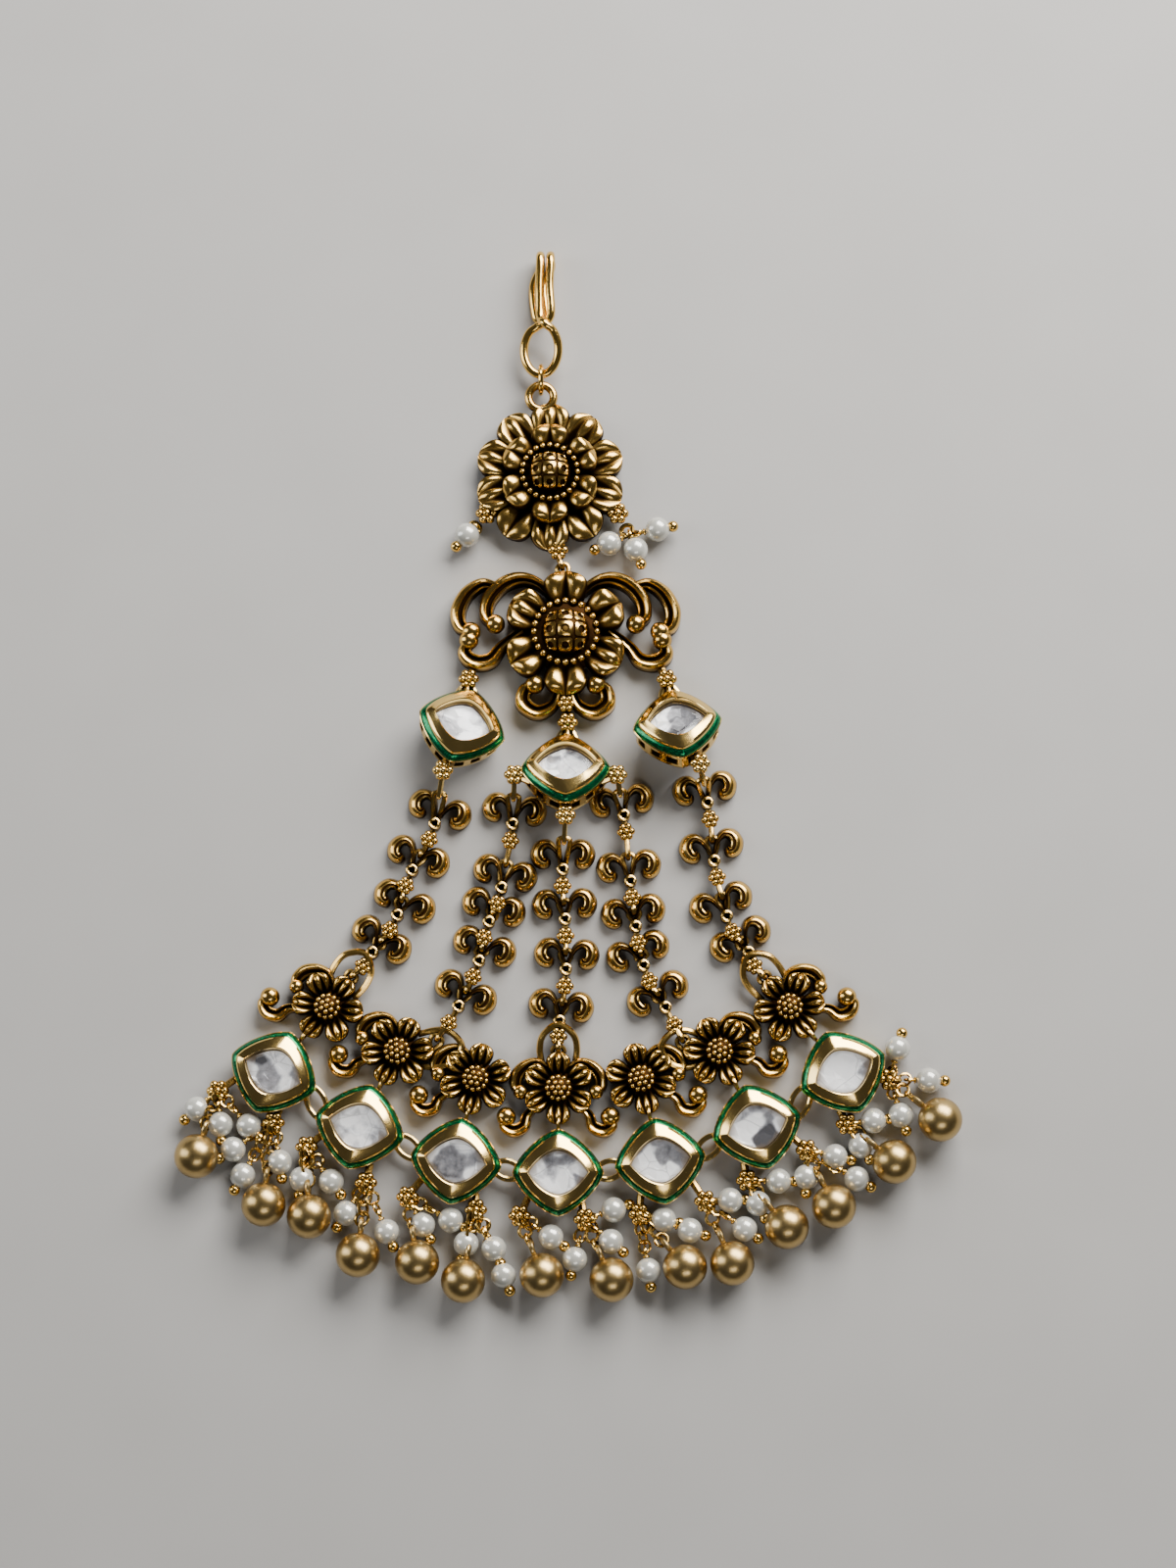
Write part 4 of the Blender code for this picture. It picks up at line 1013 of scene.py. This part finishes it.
LINK_HEIGHT = 2.0
FOOT_PROFILE = ((0.62, -1.0, 0.5), (0.70, -0.9, 0.7), (0.70, 0.95, 0.8), (0.64, 1.08, 1.0), (0.52, 1.10, 1.0),
                (0.40, 1.02, 0.9), (0.33, 0.7, 0.0), (0.28, -0.2, 0.0), (0.05, -0.3, 0.0))


def link():
    """One link that stands at the origin with its horns toward +Y."""
    casting = Casting()
    for mirror in (-1, 1):
        points = [Vector((mirror * x * LINK_HALF_WIDTH, y * LINK_RISE, 0)) for x, y in HORN]
        path = curve(points, 5)
        section = np.array(HORN_SECTION) * (-mirror, 1)
        widths = spread(HORN_WIDTHS, len(path)) * LINK_LEAF
        sweep(casting, path, section, widths, LINK_HEIGHT, HORN_WEAR, upright=True)
    turned_tube(casting, (0, 0, 0), FOOT_PROFILE, 20)
    ring(casting, (0, 0, 1.02), (0, 0, 1), 0.54, 0.40)
    return casting


LINK = link()

# %% [markdown]
# Five chains hang between the upper stones and the small flowers. A loose chain lies by no rule,
# so the route of each is a few chosen points, turned and stretched until its ends meet the pieces
# that hold it. Its last floret hangs in an arch of wire that stands on the flower.

# %% Chains
# Columns: name, upper stone, where its outline is left in degrees, flower, where the last floret
# hangs in shares of the flower's radius, the petal that carries it in degrees, and the route.
CHAINS = (
    ("a", "left", -95, 0, (0.06, 1.49), 4,
     ((-12.9, -6.4), (-14.4, -12.5), (-17.5, -18.1), (-19.6, -23.5), (-22.9, -27.9), (-24.1, -29.6))),
    ("b", "centre", -168, 1, (0.94, 1.32), -60,
     ((-5.7, -7.1), (-5.9, -12.6), (-7.1, -20.1), (-8.5, -24.1), (-9.6, -28.7), (-11.9, -34.0),
      (-13.0, -36.0))),
    ("c", "centre", -90, 3, (0.0, 1.44), 0,
     ((1.2, -10.6), (0.9, -16.9), (1.3, -23.2), (1.5, -29.5), (0.8, -36.0), (0.7, -37.9))),
    ("d", "centre", -12, 5, (-0.80, 1.20), 60,
     ((7.3, -6.8), (8.2, -11.4), (9.1, -19.4), (9.8, -24.9), (10.8, -29.6), (13.5, -34.6),
      (14.6, -36.7))),
    ("e", "right", -75, 6, (-0.04, 1.50), 0,
     ((15.5, -4.9), (16.8, -9.3), (18.1, -16.7), (20.1, -23.7), (23.1, -28.1), (23.9, -29.8))),
)
SETTING_WALL = 2.3
LINK_FLORET_DROP = 2.0


def carried(route, start, end):
    """Turn and stretch a chosen route so that its ends meet the pieces that hold it."""
    marks = [complex(x, y) for x, y in route]
    first = complex(start.x, start.y)
    factor = (complex(end.x, end.y) - first) / (marks[-1] - marks[0])
    found = [first + (mark - marks[0]) * factor for mark in marks]
    return [Vector((mark.real, mark.imag)) for mark in found]


def edge_point(matrix, angle, height=SETTING_WALL / 2):
    """A point of a setting's wall, in the direction of an angle of its own outline."""
    return matrix @ lozenge_point(0.35 + LOOP_WIRE, angle, height)


def chain_start(casting, matrix, angle):
    """Solder a floret beside an upper setting and give its middle."""
    solder = edge_point(matrix, angle, SETTING_WALL)
    outward = (solder.xy - matrix.translation.xy).normalized()
    start = solder.xy + outward * (LOOP_WIRE + 0.35 + FLORET_RADIUS)
    base = max(0.0, solder.z - FLORET_HEIGHT)
    middle = lift(start, base + FLORET_HEIGHT / 2)
    floret(casting, start, base, size=SETTING_FLORET)
    wire(casting, [edge_point(matrix, angle), middle], 1.0)
    return middle


def linked(route):
    """Links along a route, each with a floret below it, hung on one another."""
    chain = Casting()
    for index in range(1, len(route) - 1):
        foot, following = route[index], route[index + 1]
        up = (route[index - 1] - following).normalized()
        angle = atan2(up.y, up.x) - pi / 2
        chain.take(LINK, Matrix.Translation(lift(foot, LINK_HEIGHT / 2)) @ Matrix.Rotation(angle, 4, 'Z'))
        last = index == len(route) - 2
        below = following if last else foot - up * LINK_FLORET_DROP
        floret(chain, below, FLORET_BASE, angle)
        wire(chain, [lift(foot, 0.8), lift(below, 0.9)], 0.7)
        if not last:
            hang(chain, lift(below - up * 0.6 * FLORET_RADIUS, 1.4), chain, lift(following + up * 0.9, 1.0))
    return chain


def arch(casting, place, tip, held):
    """A wire that stands on a flower, over one petal's tip, and goes round the floret held there."""
    stand = (tip - place).normalized()
    side = Vector((-stand.y, stand.x))
    peak = (held - place).dot(stand) + FLORET_RADIUS + 0.3
    leg = ((1.9, 2.6, 1.0), (2.2, 0.62 * peak, 1.4), (1.75, 0.84 * peak, 1.8))
    points = [(-x, y, z) for x, y, z in leg] + [(0.0, peak, 2.0)] + list(reversed(leg))
    wire(casting, [lift(place + side * x + stand * y, z) for x, y, z in points], 0.8)


for name, stone, start_angle, number, hung_at, petal_turn, points in CHAINS:
    start = chain_start(settings[stone], seats[stone], radians(start_angle))
    place, angle = fan_point(number, MOTIF_ROW)
    route = carried(points, start, place + turned(Vector(hung_at) * MOTIF_RADIUS, angle))
    chain = linked(route)
    first_up = (route[0] - route[1]).normalized()
    hang(settings[stone], start, chain, lift(route[1] + first_up * 0.75, 0.95))
    tip = place + turned(Vector((0, 0.9 * MOTIF_RADIUS)), angle + radians(petal_turn))
    inward = (tip - route[-1]).normalized()
    hang(chain, lift(route[-1] + inward * 0.5 * FLORET_RADIUS, FLORET_MIDDLE),
         motifs[number], lift(tip, 1.15))
    arch(motifs[number], place, tip, route[-1])
    chain.piece("chain_casting_" + name, old_gold, "old_gold", ("chain_" + name,))

# %% [markdown]
# The plaque carries three more florets, one over each upper stone. Two bows join each to the
# stone's wall, and a low arch of wire on the wall goes up behind them.

# %% Florets over the upper stones
# Columns: where the floret lies and where its stem starts, in shares of the plaque's half span.
UPPER_HOOKS = {"left": ((-0.88, -0.42), (-0.82, -0.26)), "right": ((0.92, -0.42), (0.84, -0.24)),
               "centre": ((0.02, -0.82), (0.0, -0.50))}
BAIL_SPREAD = radians(17)


def toward(matrix, point):
    """The angle of a setting's own outline that faces a point."""
    local = matrix.inverted() @ point
    return atan2(local.y, local.x)


for name, shares in UPPER_HOOKS.items():
    place, stem = [PLAQUE_CENTRE + Vector(share) * PLAQUE_HALF_SPAN for share in shares]
    floret(plaque, place, FLORET_BASE, size=SETTING_FLORET)
    wire(plaque, [lift(stem, 1.1), lift(place, 1.1)], 1.0)
    matrix = seats[name]
    facing = toward(matrix, lift(place))
    wall = edge_point(matrix, facing)
    heart = lift(place, FLORET_MIDDLE)
    course = (wall - heart).normalized()
    hang(plaque, heart + course * 0.8 * FLORET_RADIUS, settings[name], wall)
    feet = [edge_point(matrix, facing + side * BAIL_SPREAD) for side in (-1, 1)]
    crown = heart + course * 0.45 * FLORET_RADIUS - Z_UP * 0.3
    shoulders = [foot.lerp(crown, 0.62) + (foot - wall) * 0.42 for foot in feet]
    wire(settings[name], [feet[0], shoulders[0], crown, shoulders[1], feet[1]], 0.7, 8)
plaque.piece("plaque_casting", old_gold, "old_gold", ("scroll_plaque",))
upper.piece("upper_blossom", old_gold, "old_gold", ("upper_flower",))
for index, casting in enumerate(motifs):
    casting.piece("motif_casting_%d" % (index + 1), old_gold, "old_gold", ("motif_%d" % (index + 1),))

# %% [markdown]
# A closed oval ring ties each stone of the lower row to the next, as on the real row, which
# bends at these rings. Its ends lie inside the two walls.

# %% Rings between the stones
TIE_OVAL = ((-1.1, 0), (-0.75, 0.72), (0, 1), (0.75, 0.72), (1.1, 0), (0.75, -0.72), (0, -1),
            (-0.75, -0.72))
TIE_HALF_WIDTH = 1.05
for index in range(1, FAN_COUNT):
    root = edge_point(seats[str(index)], 0)
    wall = edge_point(seats[str(index + 1)], pi)
    middle, course = (root + wall) / 2, (wall - root) / 2
    side = course.cross(Z_UP).normalized() * TIE_HALF_WIDTH
    oval = [middle + course * along + side * across for along, across in TIE_OVAL]
    wire(settings[str(index)], oval, 0.7, 5, True, 10)
for name, casting in settings.items():
    casting.piece("setting_metal_" + name, setting_gold, "setting_gold", ("setting_" + name,))

# %% [markdown]
# Two drops hang from each stone. Each has a floret, a satin ball and a few pearls on head pins,
# and they lie where they fell. The solids were settled by pushing the beads apart, so the same
# push is repeated here, which puts every pearl beside its own ball.

# %% Where the beads lie
# Columns: where the floret hangs, in shares of the setting's half length and half width; the
# ball's direction in degrees from straight down and its distance in drop lengths; and the same
# for each pearl.
DROPS = (
    ((-0.71, -1.14), (33, 0.80), ((-8, 0.40), (78, 0.60), (50, 0.62))),
    ((0.69, -0.90), (30, 1.03), ((14, 0.83), (52, 0.64), (-12, 0.62))),
    ((-0.86, -0.94), (29, 0.91), ((14, 0.50), (62, 0.62))),
    ((0.66, -1.08), (21, 1.04), ((48, 0.78), (-18, 0.62))),
    ((-0.86, -1.04), (22, 0.96), ((52, 0.50), (72, 0.66))),
    ((0.66, -0.98), (3, 1.04), ((-4, 0.48), (36, 0.66), (36, 0.98))),
    ((-0.84, -0.98), (21, 0.92), ((56, 0.55),)),
    ((0.58, -1.06), (24, 0.96), ((-14, 0.60), (50, 0.50), (108, 0.45))),
    ((-0.70, -1.08), (31, 0.96), ((62, 0.40), (56, 0.62), (-4, 0.82))),
    ((0.77, -1.12), (11, 0.95), ((46, 0.66), (72, 0.44))),
    ((-0.70, -1.00), (14, 0.86), ((-16, 0.40), (68, 0.52))),
    ((0.77, -0.98), (1, 0.89), ((-38, 0.40), (34, 0.80), (56, 0.58))),
    ((-0.64, -0.98), (11, 0.82), ((-22, 0.40), (58, 0.40))),
    ((0.71, -0.80), (12, 0.94), ((135, 0.42), (-22, 0.55), (50, 0.58))),
)
SETTLE_STEPS = 60


def settle(beads, posts, wells):
    """Push beads that lie on the sheet clear of each other, of posts and of the settings."""
    for _ in range(SETTLE_STEPS):
        for index, (place, radius) in enumerate(beads):
            for other, other_radius in beads[index + 1:]:
                reach = radius + other_radius + CLEARANCE
                needed = sqrt(reach ** 2 - (radius - other_radius) ** 2)
                gap = other - place
                short = needed - gap.length
                if short > 0:
                    push = gap.normalized() * (short / 2)
                    place -= push
                    other += push
            for post, post_radius in posts:
                gap = place - post
                short = radius + post_radius + CLEARANCE - gap.length
                if short > 0:
                    place += gap.normalized() * short
            for well in wells:
                gap = place - well.translation.xy
                turn = atan2(gap.y, gap.x) - atan2(well[1][0], well[0][0])
                edge = lozenge_point(0.0, turn).length
                short = edge + radius + CLEARANCE - gap.length
                if short > 0:
                    place += gap.normalized() * short


row = [seats[str(index + 1)] for index in range(FAN_COUNT)]
beads, posts, plans = [], [], []
for index, (share, ball, pearls) in enumerate(DROPS):
    spot, angle = fan_point(index // 2, STONE_ROW)
    knot = spot + turned(Vector((share[0] * SETTING_LENGTH / 2, share[1] * SETTING_WIDTH / 2)), angle)
    posts.append((knot, FLORET_RADIUS))
    own = []
    for (degree, reach), radius in [(ball, BALL_RADIUS)] + [(item, PEARL_RADIUS) for item in pearls]:
        own.append([knot + spoke(radians(degree) - pi / 2 + angle) * (reach * DROP_LENGTH), radius])
    beads.extend(own)
    plans.append((index, knot, own))
settle(beads, posts, row)


# %% [markdown]
# A pearl is threaded on a head pin. The pin's small gold head shows at one end, and its other end
# is bent into a loop. The ball has a ring of its own on top, and short runs of rings lead from it
# and from the pins to the floret.

# %% Balls, pearls and pins
PIN_WIRE = 0.36
PIN_HEAD = 0.68


def ring_run(casting, start, end, radius=0.78, thickness=0.34):
    """Interlinked rings from one point to another, flat and upright by turns."""
    span = end - start
    if span.length < radius:
        return
    count = max(1, round((span.length - 0.4) / (1.35 * radius)))
    along = span.normalized()
    flat = along.cross(Z_UP).normalized()
    for step in range(count):
        middle = start + span * ((step + 0.5) / count)
        lean = radians((28, -35, 12, -18)[(step + count) % 4])
        axis = (Z_UP if step % 2 == count % 2 else flat).copy()
        axis.rotate(Matrix.Rotation(lean, 3, along))
        ring(casting, middle, axis, max(radius, span.length / count * 0.62), thickness, 8, across=0.86)


def strung_pearl(pearls, pins, place, height, knot):
    """A pearl with a pin through it, whose loop points toward its knot."""
    centre = lift(place, height)
    course = (knot - centre).normalized()
    bead(pearls, centre, PEARL_RADIUS, shape=FINE_BEAD)
    bead(pins, centre - course * (PEARL_RADIUS + 0.6 * PIN_HEAD), PIN_HEAD, shape=FINE_BEAD)
    shaft = [centre + course * reach for reach in (-PEARL_RADIUS - 0.3, PEARL_RADIUS + 0.5)]
    wire(pins, shaft, PIN_WIRE)
    eye = centre + course * min(PEARL_RADIUS + 0.75, (knot - centre).length)
    ring(pins, centre + course * (PEARL_RADIUS + 0.12), course, 0.30, 0.24)
    ring(pins, eye, course.cross(Z_UP), 0.55, PIN_WIRE)
    ring_run(pins, eye, knot)


for index, knot, own in plans:
    number = index + 1
    metal, ball, pearls, pins = Casting(), Casting(), Casting(), Casting()
    floret(metal, knot, FLORET_BASE, size=LARGE_FLORET)
    matrix = row[index // 2]
    facing = toward(matrix, lift(knot))
    root = edge_point(matrix, facing + copysign(radians(12), cos(facing)))
    heart = lift(knot, FLORET_MIDDLE)
    inward = (root - heart).normalized()
    wire(metal, [root - inward * (LOOP_WIRE + CLEARANCE), heart], 0.9)
    place, radius = own[0]
    centre = lift(place, radius)
    course = (heart - centre).normalized()
    bead(ball, centre, radius, shape=FINE_BEAD)
    bail = centre + course * (radius + 0.75)
    ring(ball, bail, course.cross(Z_UP), 0.85, 0.62, 10)
    ring_run(metal, bail + course * 0.3, heart, 0.85, 0.40)
    for spot, size in own[1:]:
        strung_pearl(pearls, pins, spot, size, heart)
    metal.piece("drop_casting_%d" % number, old_gold, "old_gold", ("drop_%d" % number,))
    ball.piece("ball_%d" % number, satin_gold, "satin_gold")
    pearls.piece("pearls_%d" % number, pearl, "pearl")
    pins.piece("pins_%d" % number, bright_gold, "bright_gold")
print("beads:", len(beads))

# %% [markdown]
# Two small bunches of pearls hang at the upper flower's lower edge, one on the left and three on
# the right.

# %% Pearls of the upper flower
SIDE_PEARLS = (("left", ((-0.30, -0.33),)),
               ("right", ((0.60, -0.24), (-0.14, -0.44), (0.26, -0.55))))
for place, (name, shares) in zip(SIDE_FLORETS, SIDE_PEARLS):
    beads = [[place + Vector(share) * DROP_LENGTH, PEARL_RADIUS] for share in shares]
    settle(beads, [(place, FLORET_RADIUS), (UPPER_CENTRE, UPPER_RADIUS)], [])
    mean = sum((Vector(share) for share in shares), Vector((0, 0))).normalized()
    crown = FLORET_RADIUS + CLEARANCE + LOOP_WIRE / 2
    knot = lift(place + mean * (crown + 2 * LOOP_RADIUS), PEARL_RADIUS)
    pearls, pins = Casting(), Casting()
    bow(pins, knot, lift(place + mean * (crown + LOOP_RADIUS), FLORET_BASE), Z_UP, lift(-mean))
    for spot, radius in beads:
        strung_pearl(pearls, pins, spot, radius, knot)
    pearls.piece("side_pearls_" + name, pearl, "pearl", ("pearls_" + name,))
    pins.piece("side_pins_" + name, bright_gold, "bright_gold")

# %% [markdown]
# The hook is one length of polished wire, bent double. It makes an eye round the jump ring, runs
# up as two strands, folds over the top and comes part of the way down behind.

# %% Hook and jump ring
HOOK_WIRE = 1.06
HOOK_GAP = 1.5
HOOK_RISE = 9.6
HOOK_TAIL = 7.2
HOOK_PAIR = 1.25
EYE_WIDTH = 4.2
EYE_HEIGHT = 6.0
EYE_OPENING = radians(24)
JUMP_WIRE = 0.62
JUMP_PLAY = 0.45
between = (BAIL_WIRE + HOOK_WIRE) / 2 + CLEARANCE
bail_top = BAIL_CENTRE + Vector((0, BAIL_RADIUS))
eye_foot = bail_top + Vector((0, between))
bend = (HOOK_GAP + HOOK_WIRE) / 2
back = HOOK_WIRE / 2
front = back + 2 * bend
centre = eye_foot + Vector((0, EYE_HEIGHT / 2))
crossing = (HOOK_WIRE + CLEARANCE) / 2
path = []
for step in range(12):
    share = step / 11
    turn = (pi + EYE_OPENING) / 2 + (2 * pi - EYE_OPENING) * share
    height = front + crossing * (2 * share - 1) - (front - EYE_LEVEL) * sin(pi * share)
    path.append(lift(centre + Vector((cos(turn) * EYE_WIDTH, sin(turn) * EYE_HEIGHT)) / 2, height))
top = centre.y + EYE_HEIGHT / 2 + HOOK_RISE - HOOK_WIRE / 2
base = centre.y + EYE_HEIGHT / 2 + HOOK_WIRE


def shank(side):
    """One strand, from the pinch over the bend to the tip behind."""
    x = centre.x + 0.5 + side * HOOK_PAIR / 2
    run = [Vector((x, base, front)), Vector((x - 0.12, base + 0.4 * HOOK_RISE, front))]
    for step in range(5):
        turn = pi * step / 4
        run.append(Vector((x, top - bend + bend * sin(turn), back + bend + bend * cos(turn))))
    run.append(Vector((x - 0.9, top - 0.5 * HOOK_TAIL, back)))
    run.append(Vector((x - 0.6, top - HOOK_TAIL, back)))
    return run


fold = Vector((centre.x - 0.1, top - HOOK_TAIL - HOOK_PAIR / 2, back))
path = path + shank(-1) + [fold] + list(reversed(shank(1)))
hook = Casting()
wire(hook, path, HOOK_WIRE, 6, True, 12, 1.0)
hook.piece("hook_wire", bright_gold, "bright_gold", ("hook",))
jump = Casting()
jump_radius = (between + max(BAIL_WIRE, HOOK_WIRE)) / 2 + JUMP_PLAY
ring(jump, lift((bail_top + eye_foot) / 2, EYE_LEVEL), (1, 0, 0), jump_radius, JUMP_WIRE, 10)
jump.piece("jump_wire", bright_gold, "bright_gold", ("jump_ring",))
